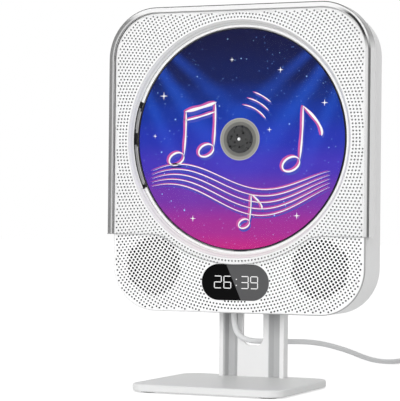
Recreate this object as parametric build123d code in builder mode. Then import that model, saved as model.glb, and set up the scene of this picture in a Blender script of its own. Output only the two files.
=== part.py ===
"""Disc player with a lift-off dust cover, on a desk stand.

Millimetres. X runs right, Y runs back, Z runs up. The origin is the middle of
the stand's footprint on the table. Depths of the player's own pieces are measured
from the housing's front face and their heights from the disc's axis.
"""
import os
from math import cos, pi, radians, sin, sqrt, tan

from build123d import *

os.makedirs("parts", exist_ok=True)

# ---------------------------------------------------------------- driving sizes
# housing
AXIS_Z = 134.2            # height of the disc's axis above the table
BODY_WIDTH = 145.0
BODY_TOP = 69.3           # from the axis up
BODY_BOTTOM = 93.6        # from the axis down
BODY_DEPTH = 28.4
BODY_CORNER = 25.0
WALL = 2.2
PARTING_Y = 19.2          # where the rear cover meets the housing
FRONT_EDGE = 1.0          # round on the housing's front edge
REAR_EDGE = 2.0           # round on the rear cover's edge
TRIM_GAP = 0.1            # round fixed pieces that show in an opening

# screws
SCREW_INSET_TOP = (14.5, 14.3)     # from the housing's side and its top
SCREW_INSET_SIDE = 8.5
SCREW_SIDE_DROP = 40.0
SCREW_BOTTOM_X = 25.0
SCREW_BOTTOM_RISE = 6.1            # from the housing's bottom
BOSS_RADIUS = 3.2
SCREW_RADIUS = 1.25
SCREW_HEAD = 2.5
SCREW_LENGTH = 14.0
SCREW_GAP = 0.05          # round every screw
HEAD_THICK = 1.6
HEAD_SINK = 2.4           # head's seat below the rear cover's face
SCREW_SPARE = 1.0         # pilot hole past the screw's tip
SMALL_SCREW = 0.9         # radius of the screws inside
SMALL_LENGTH = 4.6
SMALL_HEAD = 1.2
PILOT_LEFT = 0.8          # left in front of a small screw's pilot hole

# disc and its well
DISC_RADIUS = 60.0
DISC_THICK = 1.2
DISC_HOLE = 7.5
DISC_Y = 4.7              # label face
STACK_RING = 17.0         # raised ring on the disc's back
STACK_WIDE = 0.8
STACK_HIGH = 0.2
BEZEL_RADIUS = 64.0       # where the sloped ring starts at the front face
WELL_RADIUS = 62.1        # where it ends, clear of the disc all round
BEZEL_DEPTH = 3.2
COLLAR_WALL = 1.5
DECK_Y = 7.2              # front face of the deck behind the disc
DECK_THICK = 1.8
DECK_HOLE = 17.0          # the turntable turns in it
DECK_SCREW_RING = 63.4
SLOT_START = 10.0         # pickup's slot in the deck, below the axis
SLOT_END = 61.5
SLOT_WIDTH = 14.0

# finger notch at the disc's left edge
NOTCH_RADIUS = 63.4
NOTCH_UP = 21.2
NOTCH_DOWN = 27.1
INSERT_THICK = 2.0        # dark insert on the deck
INSERT_INNER = 61.1
PAD_THICK = 1.3
PAD_INNER = 61.2
PAD_OUTER = 62.8
PAD_ANGLES = {"upper": (163.5, 174.5), "lower": (182.5, 203.5)}

# dust cover
COVER_GAP = 0.4           # all round the housing's sides
COVER_FACE_GAP = 0.3      # in front of the housing's face
COVER_WALL = 2.5
COVER_THICK = 1.6
COVER_SIDE = 52.0         # lower end of its sides, below the axis
COVER_ARC = 67.5          # radius of its lower edge round the disc
COVER_SWEEP = 18.0        # round between the straight and the arched edge
COVER_BACK = 6.8          # rear end of its side walls
COVER_EDGE = 0.7          # round on its front edges
LIP_DEPTH = 1.1           # how far the side lips reach in
LIP_WIDTH = 2.0
LIP_GAP = 0.35

# turntable and spindle motor
TABLE_RADIUS = 14.5
TABLE_FRONT = 6.3
TABLE_BACK = 8.0
MAT_INSET = 0.1           # soft ring on the turntable
MAT_WIDE = 3.9
HUB_RADIUS = 7.4
HUB_FRONT = 3.4
HUB_EDGE = 0.8
CLAW_WIDTH = 3.0
CLAW_DEPTH = 0.5
CLAW_GROOVE = 0.5         # groove beside each claw
HUB_HOLE = 0.7
HUB_HOLE_RING = 4.6
DIMPLE = 1.4
SPINDLE_RADIUS = 1.0
SPINDLE_GAP = 0.05
SPINDLE_TIP = 4.6
SPINDLE_SHORT = 0.7       # shaft's end, inside the motor's back
MOTOR_RADIUS = 12.0
MOTOR_FRONT = 11.8
MOTOR_SPACE = 1.0         # between the spindle motor and the stand's recess
MOTOR_BOSS = 3.5
MOTOR_EDGE = 0.8

# pickup mechanism
CHASSIS_THICK = 1.4
CHASSIS_HALF = 34.5
CHASSIS_TOP = 22.0
CHASSIS_BOTTOM = 68.0
CHASSIS_ARM_X = 45.0      # arm that carries the drive, to the right
CHASSIS_ARM_TOP = 0.0
CHASSIS_ARM_BOTTOM = 42.0
CHASSIS_CORNER = 4.0
WINDOW_TOP_DROP = 17.0    # pickup's window in the chassis
WINDOW_END_DROP = 63.0
DAMPER_SPOTS = [(-30.0, 16.0), (30.0, 16.0), (-30.0, -54.0), (30.0, -54.0)]
DAMPER_RADIUS = 4.0
DAMPER_WAIST = 3.0
DAMPER_BORE = 1.6
DAMPER_BACK = 13.2
DAMPER_BITE = 1.45        # how far the damper screws go into the deck
ROD_X = 17.0
ROD_Y = 16.0
ROD_RADIUS = 1.5
ROD_GAP = 0.05
ROD_TOP = 9.0             # upper end, below the axis
ROD_BOTTOM = 68.0
LUG_HALF = 2.6
LUG_TALL = 4.0
LUG_BOTTOM_TALL = 3.0
LUG_BACK = 18.5
SLED_DROP = 24.0          # the pickup at rest, below the axis
SLED_HALF_TALL = 9.0
SLED_LEFT = 22.0
SLED_RIGHT = 20.0
SLED_FRONT = 12.8
SLED_BACK = 19.2
SLED_CORNER = 2.0
TURRET_HALF = 4.8
TURRET_FRONT = 9.4
HOLDER_HALF = 3.7
HOLDER_FRONT = 8.2
HOLDER_BACK = 9.0
LENS_RADIUS = 2.0
LENS_FRONT = 7.7
LENS_EDGE = 0.5

# pickup drive: rack, idler gear and motor pinion, all of one module
MODULE = 0.8
IDLER_TEETH = 20
PINION_TEETH = 10
IDLER_X = 31.2
IDLER_DROP = 27.0
GEAR_FRONT = 12.4
GEAR_BACK = 14.8
TOOTH_PITCH_SHARE = 0.40  # tooth's width at the pitch line, as a share of pi modules
TOOTH_TIP_SHARE = 0.20
TOOTH_ROOT_SHARE = 0.52
ADDENDUM = 0.64
DEDENDUM = 0.80
TOOTH_SINK = 0.1          # teeth start this far inside the root line
RACK_TOP = 10.0
RACK_BOTTOM = 30.0
RACK_BACK_WIDTH = 2.4
GEAR_BORE = 1.05
AXLE_RADIUS = 1.0
BRACKET_FRONT = 15.2
BRACKET_THICK = 1.0
BRACKET_LEFT = 24.0
BRACKET_TOP = 4.0
BRACKET_BOTTOM = 40.0
BRACKET_POSTS = [(41.5, -36.0), (41.5, -8.0), (27.0, -5.0)]
POST_RADIUS = 2.0
SLED_MOTOR_RADIUS = 7.5
SLED_MOTOR_SPACE = 2.0    # between the sled motor and the rear wall
SLED_SHAFT_END = 20.0

# circuit boards
BOARD_FRONT = 18.0
BOARD_BACK = 19.6
BOARD_HALF = 44.0
BOARD_LOW = 18.0
BOARD_HIGH = 64.0
BOARD_SPOTS = [(-38.0, 24.0), (38.0, 24.0), (-38.0, 58.0), (38.0, 58.0)]
BOARD_POST = 2.5
CHIPS = [(-20.0, 42.0, 14.0, 14.0, 1.4), (12.0, 46.0, 10.0, 10.0, 1.2), (28.0, 34.0, 8.0, 5.0, 1.5)]
CANS = [(-2.0, 34.0), (-36.0, 40.0), (36.0, 46.0)]
CAN_RADIUS = 2.5
CAN_TALL = 3.0
KEY_BOARD_HALF = 35.0
KEY_BOARD_TOP = 64.0
KEY_BOARD_THICK = 1.6
KEY_BOARD_DEPTH = 7.2
KEY_POST = 2.0
KEY_POST_X = 32.0
KEY_SWITCH = 5.0
KEY_SWITCH_TALL = 1.4

# buttons in the top
BUTTON_XS = {"previous": -24.0, "play": -12.0, "next": 0.0, "quieter": 12.0, "louder": 24.0}
BUTTON_Y = 13.0
BUTTON_LENGTH = 8.0
BUTTON_WIDTH = 4.4
BUTTON_GAP = 0.1
BUTTON_PROUD = 0.9
BUTTON_FOOT = 66.0        # underside, above the axis
BUTTON_RIM = 0.9
BUTTON_EDGE = 0.5

# headphone socket and power switch in the left side
CONTROL_Y = 14.0
JACK_Z = 12.0
JACK_RADIUS = 1.8
JACK_NOSE = 3.2
JACK_LENGTH = 14.0
JACK_HALF = 4.0
JACK_BACK_WALL = 1.5
SWITCH_Z = -14.0
SWITCH_WIDTH = 2.6
SWITCH_KNOB = 4.6
SWITCH_TRAVEL = 3.0
SWITCH_GAP = 0.1
SWITCH_PROUD = 1.1
SWITCH_BODY_DEEP = 5.3
SWITCH_BODY_HALF = 6.0
SWITCH_BODY_WIDE = 6.2
RIDGE_STEP = 1.15         # grooves across the knob
RIDGE_WIDE = 0.46
RIDGE_DEEP = 0.5

# power socket, in a pocket that opens down and back
POCKET_X = -9.0
POCKET_WIDTH = 11.0
POCKET_Y = 17.0
POCKET_TALL = 16.0
POCKET_WALL = 1.5
SOCKET_TALL = 4.4
SOCKET_HALF = 4.5
SOCKET_BACK_GAP = 0.35
PLUG_Y = 21.25
PLUG_BARREL = 2.0
PLUG_BARREL_LENGTH = 3.6
PLUG_RADIUS = 3.4
PLUG_TALL = 8.0
PLUG_EDGE = 0.8
RELIEF_TOP = 2.6
RELIEF_TIP = 1.85

# display
DISPLAY_SPACE = 0.85      # between its flange and the disc's collar
DISPLAY_LENGTH = 38.6
DISPLAY_HEIGHT = 19.3
DISPLAY_SINK = 0.15       # window's face behind the housing's face
DISPLAY_FLANGE = 1.0
MODULE_WIDTH = 42.0
MODULE_MARGIN = 0.3       # how much lower it is than the window
MODULE_DEPTH = 5.5

# speakers
SPEAKER_INSET = 24.5      # its middle from the housing's side
SPEAKER_SPACE = 0.65      # between its rim and the disc's collar
SPEAKER_RADIUS = 17.9
SPEAKER_RIM = 2.0
SPEAKER_FLANGE = 1.3
SPEAKER_HOLLOW = 6.8
BASKET_RADIUS = 11.5
MAGNET_RADIUS = 10.0
MAGNET_BACK = 13.2
BASKET_BACK = 7.6
CONE_FRONT = 2.9
CONE_DEPTH = 8.2
CONE_WALL = 0.6
CAP_RADIUS = 4.8

# wall hanging
KEYHOLE_INSET = 16.5      # from the housing's side
KEYHOLE_Z = 34.0
KEYHOLE_RADIUS = 4.0
KEYHOLE_SLOT = 4.2
KEYHOLE_RISE = 8.0

# stand
BASE_WIDTH = 85.2
BASE_DEPTH = 81.0
BASE_BEHIND = 1.6         # how far the base reaches behind the column's foot
BASE_THICK = 4.0
BASE_CORNER = 10.0
BASE_EDGE = 1.2           # round on its upper edge
BASE_LOWER_EDGE = 0.5
PAD_HEIGHT = 0.7          # rubber feet under the base
PAD_RADIUS = 5.0
PAD_INSET_SIDE = 9.6
PAD_INSET_END = 9.5
COLUMN_WIDTH = 38.0       # a pressed sheet with two grooves and a rib between them
COLUMN_SEAT = 0.4         # between the lips' front and the recess they stand in
COLUMN_TOP = 12.0         # upper end, above the axis
COLUMN_SHEET = 1.8
LIP_FLAT = 2.4
GROOVE_DEPTH = 4.8        # groove's floor behind the lips
GROOVE_SLOPE = 1.5
RIB_SETBACK = 2.7         # rib's front behind the lips
RIB_HALF = 9.0
RIB_SLOPE = 2.5
WINDOW_WIDTH = 11.8
WINDOW_SILL = 21.8        # its lower edge, above the table
WINDOW_TOP = 51.2
WINDOW_ROUND = 4.0
FOOT_HALF = 9.0           # block behind the rib that the base screws go into
FOOT_BEHIND = 2.9         # how far it reaches behind the groove's floor
FOOT_TALL = 7.0
STAND_RECESS = 3.9        # how deep the stand sits in the rear cover
RECESS_GAP = 0.5
RECESS_CORNER = 3.0
STAND_SCREW_ZS = [-60.0, -15.0]
STAND_BOSS = 4.0
STAND_SCREW = 1.6
STAND_SCREW_LENGTH = 5.8
STAND_HEAD = 3.0
STAND_HEAD_THICK = 1.6
BASE_SCREW_X = 5.0
BASE_SCREW_SINK = 2.2
BASE_SCREW_LENGTH = 6.8

# power cord: its route, to where its coil starts, and the coil
CORD_RADIUS = 1.55
COIL_MIDDLE = (49.0, 254.5)
COIL_RADIUS = 16.05       # middle of its turns
COIL_WIDE = 12.8
COIL_TALL = 12.7
COIL_EDGE = 1.5
CORD_ROUTE = [
    (-9.0, 25.75, 40.8),
    (-9.0, 25.75, 33.8),
    (-6.8, 27.7, 26.9),
    (-1.6, 31.7, 24.3),
    (3.2, 40.0, 23.7),
    (10.2, 54.5, 23.0),
    (18.4, 84.5, 21.4),
    (23.6, 124.5, 14.6),
    (25.8, 164.5, 6.0),
    (27.2, 205.5, 1.75),
    (28.3, 246.0, 1.55),
]
TIE_WIDE = 4.0
TIE_THICK = 0.8
TIE_GAP = 0.3
TIE_ANGLE = 50.0
USB_X = 69.5              # far-end plug, whose cord comes out of the coil
USB_REAR = 242.0
USB_RELIEF = 10.0
USB_RELIEF_RADIUS = 2.6
USB_EDGE = 1.5
USB_LENGTH = 25.0
USB_WIDTH = 15.6
USB_TALL = 8.0
SHELL_LENGTH = 12.0
SHELL_WIDTH = 12.0
SHELL_TALL = 4.5
SHELL_WALL = 0.4

# ---------------------------------------------------------------- worked out
BODY_HEIGHT = BODY_TOP + BODY_BOTTOM
BODY_MIDDLE = (BODY_TOP - BODY_BOTTOM) / 2
HALF_WIDTH = BODY_WIDTH / 2
SCREW_HALF = [
    (HALF_WIDTH - SCREW_INSET_TOP[0], BODY_TOP - SCREW_INSET_TOP[1]),
    (HALF_WIDTH - SCREW_INSET_SIDE, -SCREW_SIDE_DROP),
    (SCREW_BOTTOM_X, SCREW_BOTTOM_RISE - BODY_BOTTOM),
]
SCREW_SPOTS = [(side * x, z) for x, z in SCREW_HALF for side in (-1, 1)]
COLLAR_RADIUS = BEZEL_RADIUS + COLLAR_WALL
DISPLAY_DROP = COLLAR_RADIUS + DISPLAY_SPACE + DISPLAY_FLANGE + DISPLAY_HEIGHT / 2
MODULE_HEIGHT = DISPLAY_HEIGHT - MODULE_MARGIN
SPEAKER_X = HALF_WIDTH - SPEAKER_INSET
SPEAKER_DROP = sqrt((COLLAR_RADIUS + SPEAKER_SPACE + SPEAKER_RADIUS) ** 2 - SPEAKER_X**2)
CONE_RADIUS = SPEAKER_RADIUS - SPEAKER_RIM
KEYHOLE_X = HALF_WIDTH - KEYHOLE_INSET
COVER_GROW = COVER_GAP + COVER_WALL
COVER_INNER_Y = -COVER_FACE_GAP
DECK_BACK = DECK_Y + DECK_THICK
CHASSIS_FRONT = MOTOR_FRONT - CHASSIS_THICK
MOTOR_BACK = BODY_DEPTH - STAND_RECESS - WALL - MOTOR_SPACE
SPINDLE_END = MOTOR_BACK - SPINDLE_SHORT
SLED_MOTOR_BACK = BODY_DEPTH - WALL - SLED_MOTOR_SPACE
BASE_TOP = PAD_HEIGHT + BASE_THICK
PAD_X = BASE_WIDTH / 2 - PAD_INSET_SIDE
PAD_Y = BASE_DEPTH / 2 - PAD_INSET_END
RECESS_FLOOR = BODY_DEPTH - STAND_RECESS
COLUMN_FRONT = RECESS_FLOOR + COLUMN_SEAT
COLUMN_BACK = COLUMN_FRONT + GROOVE_DEPTH + COLUMN_SHEET
RIB_FRONT = COLUMN_FRONT + RIB_SETBACK
RIB_HOLLOW = RIB_FRONT + COLUMN_SHEET
FOOT_BACK = COLUMN_BACK + FOOT_BEHIND
FOOT_MIDDLE = (RIB_HOLLOW + FOOT_BACK) / 2
# the housing's front face, behind the middle of the stand's footprint
FACE_Y = BASE_DEPTH / 2 - BASE_BEHIND - FOOT_BACK
POCKET_CEILING = POCKET_TALL - BODY_BOTTOM
IDLER_RADIUS = MODULE * IDLER_TEETH / 2
PINION_RADIUS = MODULE * PINION_TEETH / 2
PINION_DROP = IDLER_DROP - IDLER_RADIUS - PINION_RADIUS
RACK_LINE = IDLER_X - IDLER_RADIUS
REACH = 200.0             # longer than any cut needs


def seen(y):
    """A drawing plane at depth y, seen from the front, with the disc's axis at its
    origin. Extruding by a positive amount comes forward."""
    return Plane(origin=(0, FACE_Y + y, AXIS_Z), x_dir=(1, 0, 0), z_dir=(0, -1, 0))


def level(z):
    """A level drawing plane at height z above the table, with the housing's front face
    along its X axis."""
    return Plane(origin=(0, FACE_Y, z))


def side_wall(z):
    """A drawing plane on the housing's left face at height z above the axis, with X
    pointing forward. Extruding by a positive amount goes outwards."""
    origin = (-HALF_WIDTH, FACE_Y, AXIS_Z + z)
    return Plane(origin=origin, x_dir=(0, -1, 0), z_dir=(-1, 0, 0))


def through(x, z):
    """A drawing plane that holds a turned piece's axis, which runs back through (x, z)."""
    return Plane(origin=(x, FACE_Y, AXIS_Z + z))


def axis_through(x, z):
    return Axis((x, FACE_Y, AXIS_Z + z), (0, 1, 0))


def save(part, name):
    part.part.label = name
    export_step(part.part, f"parts/{name}.step")


def body_outline(grow=0.0, mode=Mode.ADD):
    """The housing's outline, larger or smaller by grow."""
    with Locations((0, BODY_MIDDLE)):
        RectangleRounded(
            BODY_WIDTH + 2 * grow, BODY_HEIGHT + 2 * grow, BODY_CORNER + grow, mode=mode
        )


def cut_below(drop):
    """Removes everything lower than drop under the axis."""
    with Locations((0, -drop)):
        Rectangle(2 * REACH, REACH, align=(Align.CENTER, Align.MAX), mode=Mode.SUBTRACT)


def notch_area(radius):
    """The part of a disc of that radius that the finger notch takes."""
    Circle(radius)
    with Locations((-DISC_RADIUS / 2, (NOTCH_UP - NOTCH_DOWN) / 2)):
        Rectangle(
            REACH, NOTCH_UP + NOTCH_DOWN, align=(Align.MAX, Align.CENTER), mode=Mode.INTERSECT
        )


def arc_band(inner, outer, start, end):
    """A ring's piece between two angles."""
    Circle(outer)
    Circle(inner, mode=Mode.SUBTRACT)
    spokes = [(REACH * cos(radians(a)), REACH * sin(radians(a))) for a in (start, end)]
    Polygon((0, 0), *spokes, align=None, mode=Mode.INTERSECT)


def gear_teeth(count, first_angle):
    """Straight-flanked teeth round a wheel, the first one at first_angle."""
    radius = MODULE * count / 2
    half = [MODULE * pi * share / 2 for share in (TOOTH_ROOT_SHARE, TOOTH_PITCH_SHARE, TOOTH_TIP_SHARE)]
    reach = [radius - DEDENDUM - TOOTH_SINK, radius, radius + ADDENDUM]
    outline = [(r, -w) for r, w in zip(reach, half)] + [(r, w) for r, w in zip(reach, half)][::-1]
    Circle(radius - DEDENDUM)
    with PolarLocations(0, count, start_angle=first_angle):
        Polygon(*outline, align=None)


def corner_radii(points):
    """The largest tangent arc that each corner's two runs leave room for."""
    runs = [Vector(*end) - Vector(*start) for start, end in zip(points, points[1:])]
    return [
        0.45 * min(one.length, two.length) / tan(radians(one.get_angle(two)) / 2)
        for one, two in zip(runs, runs[1:])
    ]


# ---------------------------------------------------------------- front housing
with BuildPart() as front_housing:
    with BuildSketch(seen(PARTING_Y)):
        body_outline()
    extrude(amount=PARTING_Y)
    fillet(front_housing.faces().sort_by(Axis.Y)[0].edges(), FRONT_EDGE)
    with BuildSketch(seen(PARTING_Y)):
        body_outline(-WALL)
    extrude(amount=PARTING_Y - WALL, mode=Mode.SUBTRACT)
    # bosses for the rear cover's screws
    with BuildSketch(seen(PARTING_Y)):
        with Locations(*SCREW_SPOTS):
            Circle(BOSS_RADIUS)
    extrude(amount=PARTING_Y - WALL / 2)
    # round opening for the disc's bezel ring
    with BuildSketch(seen(DECK_Y)):
        Circle(BEZEL_RADIUS + TRIM_GAP)
    extrude(amount=REACH, mode=Mode.SUBTRACT)
    # room for its collar behind the face
    with BuildSketch(seen(DECK_Y)):
        Circle(COLLAR_RADIUS + TRIM_GAP)
    extrude(amount=DECK_Y - WALL, mode=Mode.SUBTRACT)
    # display opening
    with BuildSketch(seen(WALL)):
        with Locations((0, -DISPLAY_DROP)):
            SlotOverall(DISPLAY_LENGTH + 2 * TRIM_GAP, DISPLAY_HEIGHT + 2 * TRIM_GAP)
    extrude(amount=REACH, mode=Mode.SUBTRACT)
    # grooves that the dust cover's lips run in
    groove = LIP_DEPTH - COVER_GAP + LIP_GAP
    with BuildSketch(seen(COVER_BACK + LIP_GAP)):
        with Locations(*[(side * HALF_WIDTH, -COVER_SIDE - LIP_GAP) for side in (-1, 1)]):
            Rectangle(2 * groove, REACH, align=(Align.CENTER, Align.MIN))
    extrude(amount=LIP_WIDTH + 2 * LIP_GAP, mode=Mode.SUBTRACT)
    # holes for the buttons, the headphone socket and the power switch
    with BuildSketch(level(AXIS_Z + BODY_TOP)):
        with Locations(*[(x, BUTTON_Y) for x in BUTTON_XS.values()]):
            SlotOverall(BUTTON_LENGTH + 2 * BUTTON_GAP, BUTTON_WIDTH + 2 * BUTTON_GAP)
    extrude(amount=-WALL, mode=Mode.SUBTRACT)
    with BuildSketch(side_wall(JACK_Z)):
        with Locations((-CONTROL_Y, 0)):
            Circle(JACK_NOSE + TRIM_GAP)
    extrude(amount=-WALL, mode=Mode.SUBTRACT)
    with BuildSketch(side_wall(SWITCH_Z)):
        with Locations((-CONTROL_Y, 0)):
            Rectangle(SWITCH_WIDTH + 2 * SWITCH_GAP, SWITCH_KNOB + SWITCH_TRAVEL + 2 * SWITCH_GAP)
    extrude(amount=-WALL, mode=Mode.SUBTRACT)
    # pilot holes, and the front of the power pocket
    with BuildSketch(seen(PARTING_Y)):
        with Locations(*SCREW_SPOTS):
            Circle(SCREW_RADIUS + SCREW_GAP)
    pilot = SCREW_LENGTH - (BODY_DEPTH - HEAD_SINK - PARTING_Y) + SCREW_SPARE
    extrude(amount=pilot, mode=Mode.SUBTRACT)
    with BuildSketch(level(AXIS_Z - BODY_BOTTOM)):
        with Locations((POCKET_X, POCKET_Y)):
            Rectangle(POCKET_WIDTH, REACH, align=(Align.CENTER, Align.MIN))
    extrude(amount=WALL, mode=Mode.SUBTRACT)
    # two posts under the top wall carry the key board
    with BuildSketch(level(AXIS_Z + KEY_BOARD_TOP)):
        with Locations(*[(side * KEY_POST_X, BUTTON_Y) for side in (-1, 1)]):
            Circle(KEY_POST)
    extrude(amount=BODY_TOP - WALL / 2 - KEY_BOARD_TOP)
save(front_housing, "front_housing")

# ring that slopes in to the disc, held behind the housing's wall
with BuildPart() as bezel_ring:
    with BuildSketch(through(0, 0)):
        Polygon(
            (BEZEL_RADIUS, 0),
            (BEZEL_RADIUS, WALL),
            (COLLAR_RADIUS, WALL),
            (COLLAR_RADIUS, DECK_Y),
            (WELL_RADIUS, DECK_Y),
            (WELL_RADIUS, BEZEL_DEPTH),
            align=None,
        )
    revolve(axis=axis_through(0, 0))
    with BuildSketch(seen(DECK_Y)):
        notch_area(NOTCH_RADIUS)
    extrude(amount=REACH, mode=Mode.SUBTRACT)
    with BuildSketch(seen(DECK_Y)):
        with PolarLocations(DECK_SCREW_RING, 4, start_angle=45):
            Circle(SMALL_SCREW + SCREW_GAP)
    extrude(amount=DECK_Y - BEZEL_DEPTH - PILOT_LEFT, mode=Mode.SUBTRACT)
save(bezel_ring, "bezel_ring")

# ---------------------------------------------------------------- rear cover
with BuildPart() as rear_cover:
    with BuildSketch(seen(BODY_DEPTH)):
        body_outline()
    extrude(amount=BODY_DEPTH - PARTING_Y)
    fillet(rear_cover.faces().sort_by(Axis.Y)[-1].edges(), REAR_EDGE)
    with BuildSketch(seen(BODY_DEPTH - WALL)):
        body_outline(-WALL)
    extrude(amount=REACH, mode=Mode.SUBTRACT)
    # screw posts and standoffs for the main board
    with BuildSketch(seen(BODY_DEPTH - WALL / 2)):
        with Locations(*SCREW_SPOTS):
            Circle(BOSS_RADIUS)
    extrude(amount=BODY_DEPTH - WALL / 2 - PARTING_Y)
    with BuildSketch(seen(BODY_DEPTH - WALL / 2)):
        with Locations(*BOARD_SPOTS):
            Circle(BOARD_POST)
            Circle(SMALL_SCREW + SCREW_GAP, mode=Mode.SUBTRACT)
    extrude(amount=BODY_DEPTH - WALL / 2 - BOARD_BACK)
    # walls of the recess that the stand's column sits in
    recess_half = COLUMN_WIDTH / 2 + RECESS_GAP
    recess_top = COLUMN_TOP + RECESS_GAP
    with BuildSketch(seen(BODY_DEPTH - WALL / 2)):
        body_outline(-WALL / 2)
        with Locations((0, recess_top + WALL)):
            Rectangle(
                2 * (recess_half + WALL), REACH, align=(Align.CENTER, Align.MAX), mode=Mode.INTERSECT
            )
    extrude(amount=BODY_DEPTH - WALL / 2 - (RECESS_FLOOR - WALL))
    # walls of the power pocket
    with BuildSketch(level(AXIS_Z - BODY_BOTTOM + WALL)):
        with Locations((POCKET_X, POCKET_Y - POCKET_WALL)):
            Rectangle(
                POCKET_WIDTH + 2 * POCKET_WALL,
                RECESS_FLOOR - POCKET_Y + POCKET_WALL,
                align=(Align.CENTER, Align.MIN),
            )
    extrude(amount=POCKET_TALL - WALL + POCKET_WALL)
    with BuildSketch(seen(BODY_DEPTH)):
        with Locations((0, recess_top)):
            RectangleRounded(2 * recess_half, REACH, RECESS_CORNER, align=(Align.CENTER, Align.MAX))
    extrude(amount=STAND_RECESS, mode=Mode.SUBTRACT)
    with BuildSketch(level(AXIS_Z - BODY_BOTTOM)):
        with Locations((POCKET_X, POCKET_Y)):
            Rectangle(POCKET_WIDTH, BODY_DEPTH - POCKET_Y, align=(Align.CENTER, Align.MIN))
    extrude(amount=POCKET_TALL, mode=Mode.SUBTRACT)
    # bosses that the stand's column is screwed to
    with BuildSketch(seen(RIB_FRONT)):
        with Locations(*[(0, z) for z in STAND_SCREW_ZS]):
            Circle(STAND_BOSS)
    extrude(amount=RIB_FRONT - RECESS_FLOOR)
    with BuildSketch(seen(RIB_FRONT)):
        with Locations(*[(0, z) for z in STAND_SCREW_ZS]):
            Circle(STAND_SCREW + SCREW_GAP)
    extrude(amount=RIB_FRONT - RECESS_FLOOR + WALL / 2, mode=Mode.SUBTRACT)
    # holes for the case screws
    with BuildSketch(seen(BODY_DEPTH)):
        with Locations(*SCREW_SPOTS):
            Circle(SCREW_RADIUS + SCREW_GAP)
    extrude(amount=REACH, mode=Mode.SUBTRACT)
    with BuildSketch(seen(BODY_DEPTH)):
        with Locations(*SCREW_SPOTS):
            Circle(SCREW_HEAD + SCREW_GAP)
    extrude(amount=HEAD_SINK, mode=Mode.SUBTRACT)
    # keyholes for two wall screws
    with BuildSketch(seen(BODY_DEPTH)):
        with Locations(*[(side * KEYHOLE_X, KEYHOLE_Z) for side in (-1, 1)]):
            Circle(KEYHOLE_RADIUS)
            Rectangle(KEYHOLE_SLOT, KEYHOLE_RISE, align=(Align.CENTER, Align.MIN))
        with Locations(*[(side * KEYHOLE_X, KEYHOLE_Z + KEYHOLE_RISE) for side in (-1, 1)]):
            Circle(KEYHOLE_SLOT / 2)
    extrude(amount=WALL, mode=Mode.SUBTRACT)
save(rear_cover, "rear_cover")

with BuildPart() as case_screws:
    with BuildSketch(seen(BODY_DEPTH - HEAD_SINK)):
        with Locations(*SCREW_SPOTS):
            Circle(SCREW_RADIUS)
    extrude(amount=SCREW_LENGTH)
    with BuildSketch(seen(BODY_DEPTH - HEAD_SINK + HEAD_THICK)):
        with Locations(*SCREW_SPOTS):
            Circle(SCREW_HEAD)
    extrude(amount=HEAD_THICK)
save(case_screws, "case_screws")

# ---------------------------------------------------------------- dust cover
with BuildPart() as dust_cover:
    with BuildSketch(seen(COVER_INNER_Y)) as pane:
        body_outline(COVER_GROW)
        cut_below(COVER_SIDE)
        Circle(COVER_ARC)
        lower_ends = pane.vertices().filter_by_position(Axis.Y, -COVER_SIDE - 1, -COVER_SIDE + 1)
        fillet(lower_ends.filter_by_position(Axis.X, -COVER_ARC, COVER_ARC), COVER_SWEEP)
    extrude(amount=COVER_THICK)
    with BuildSketch(seen(COVER_BACK)):
        body_outline(COVER_GROW)
        body_outline(COVER_GAP, mode=Mode.SUBTRACT)
        cut_below(COVER_SIDE)
    extrude(amount=COVER_BACK - COVER_INNER_Y)
    with BuildSketch(seen(COVER_BACK)):
        lip_top = BODY_TOP - BODY_CORNER
        for side in (-1, 1):
            with Locations((side * (HALF_WIDTH + COVER_GAP), (lip_top - COVER_SIDE) / 2)):
                Rectangle(2 * LIP_DEPTH, lip_top + COVER_SIDE)
    extrude(amount=LIP_WIDTH)
    fillet(dust_cover.faces().sort_by(Axis.Y)[0].edges(), COVER_EDGE)
save(dust_cover, "dust_cover")

# ---------------------------------------------------------------- disc bay
with BuildPart() as disc_deck:
    with BuildSketch(seen(DECK_BACK)):
        Circle(COLLAR_RADIUS)
        Circle(DECK_HOLE, mode=Mode.SUBTRACT)
        with Locations((0, -(SLOT_START + SLOT_END) / 2)):
            SlotOverall(SLOT_END - SLOT_START, SLOT_WIDTH, rotation=90, mode=Mode.SUBTRACT)
        with PolarLocations(DECK_SCREW_RING, 4, start_angle=45):
            Circle(SMALL_SCREW + SCREW_GAP, mode=Mode.SUBTRACT)
    extrude(amount=DECK_THICK)
    # pilot holes for the damper screws
    with BuildSketch(seen(DECK_BACK)):
        with Locations(*DAMPER_SPOTS):
            Circle(SMALL_SCREW + SCREW_GAP)
    extrude(amount=DECK_THICK, mode=Mode.SUBTRACT)
save(disc_deck, "disc_deck")

with BuildPart() as deck_screws:
    with BuildSketch(seen(DECK_BACK)):
        with PolarLocations(DECK_SCREW_RING, 4, start_angle=45):
            Circle(SMALL_SCREW)
    extrude(amount=SMALL_LENGTH)
    with BuildSketch(seen(DECK_BACK + SMALL_HEAD)):
        with PolarLocations(DECK_SCREW_RING, 4, start_angle=45):
            Circle(2 * SMALL_SCREW)
    extrude(amount=SMALL_HEAD)
save(deck_screws, "deck_screws")

with BuildPart() as notch_insert:
    with BuildSketch(seen(DECK_Y)):
        notch_area(NOTCH_RADIUS - TRIM_GAP)
        Circle(INSERT_INNER, mode=Mode.SUBTRACT)
    extrude(amount=INSERT_THICK)
save(notch_insert, "notch_insert")

for height, (start, end) in PAD_ANGLES.items():
    with BuildPart() as notch_pad:
        with BuildSketch(seen(DECK_Y - INSERT_THICK)):
            arc_band(PAD_INNER, PAD_OUTER, start, end)
        extrude(amount=PAD_THICK)
    save(notch_pad, f"notch_pad_{height}")

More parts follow.
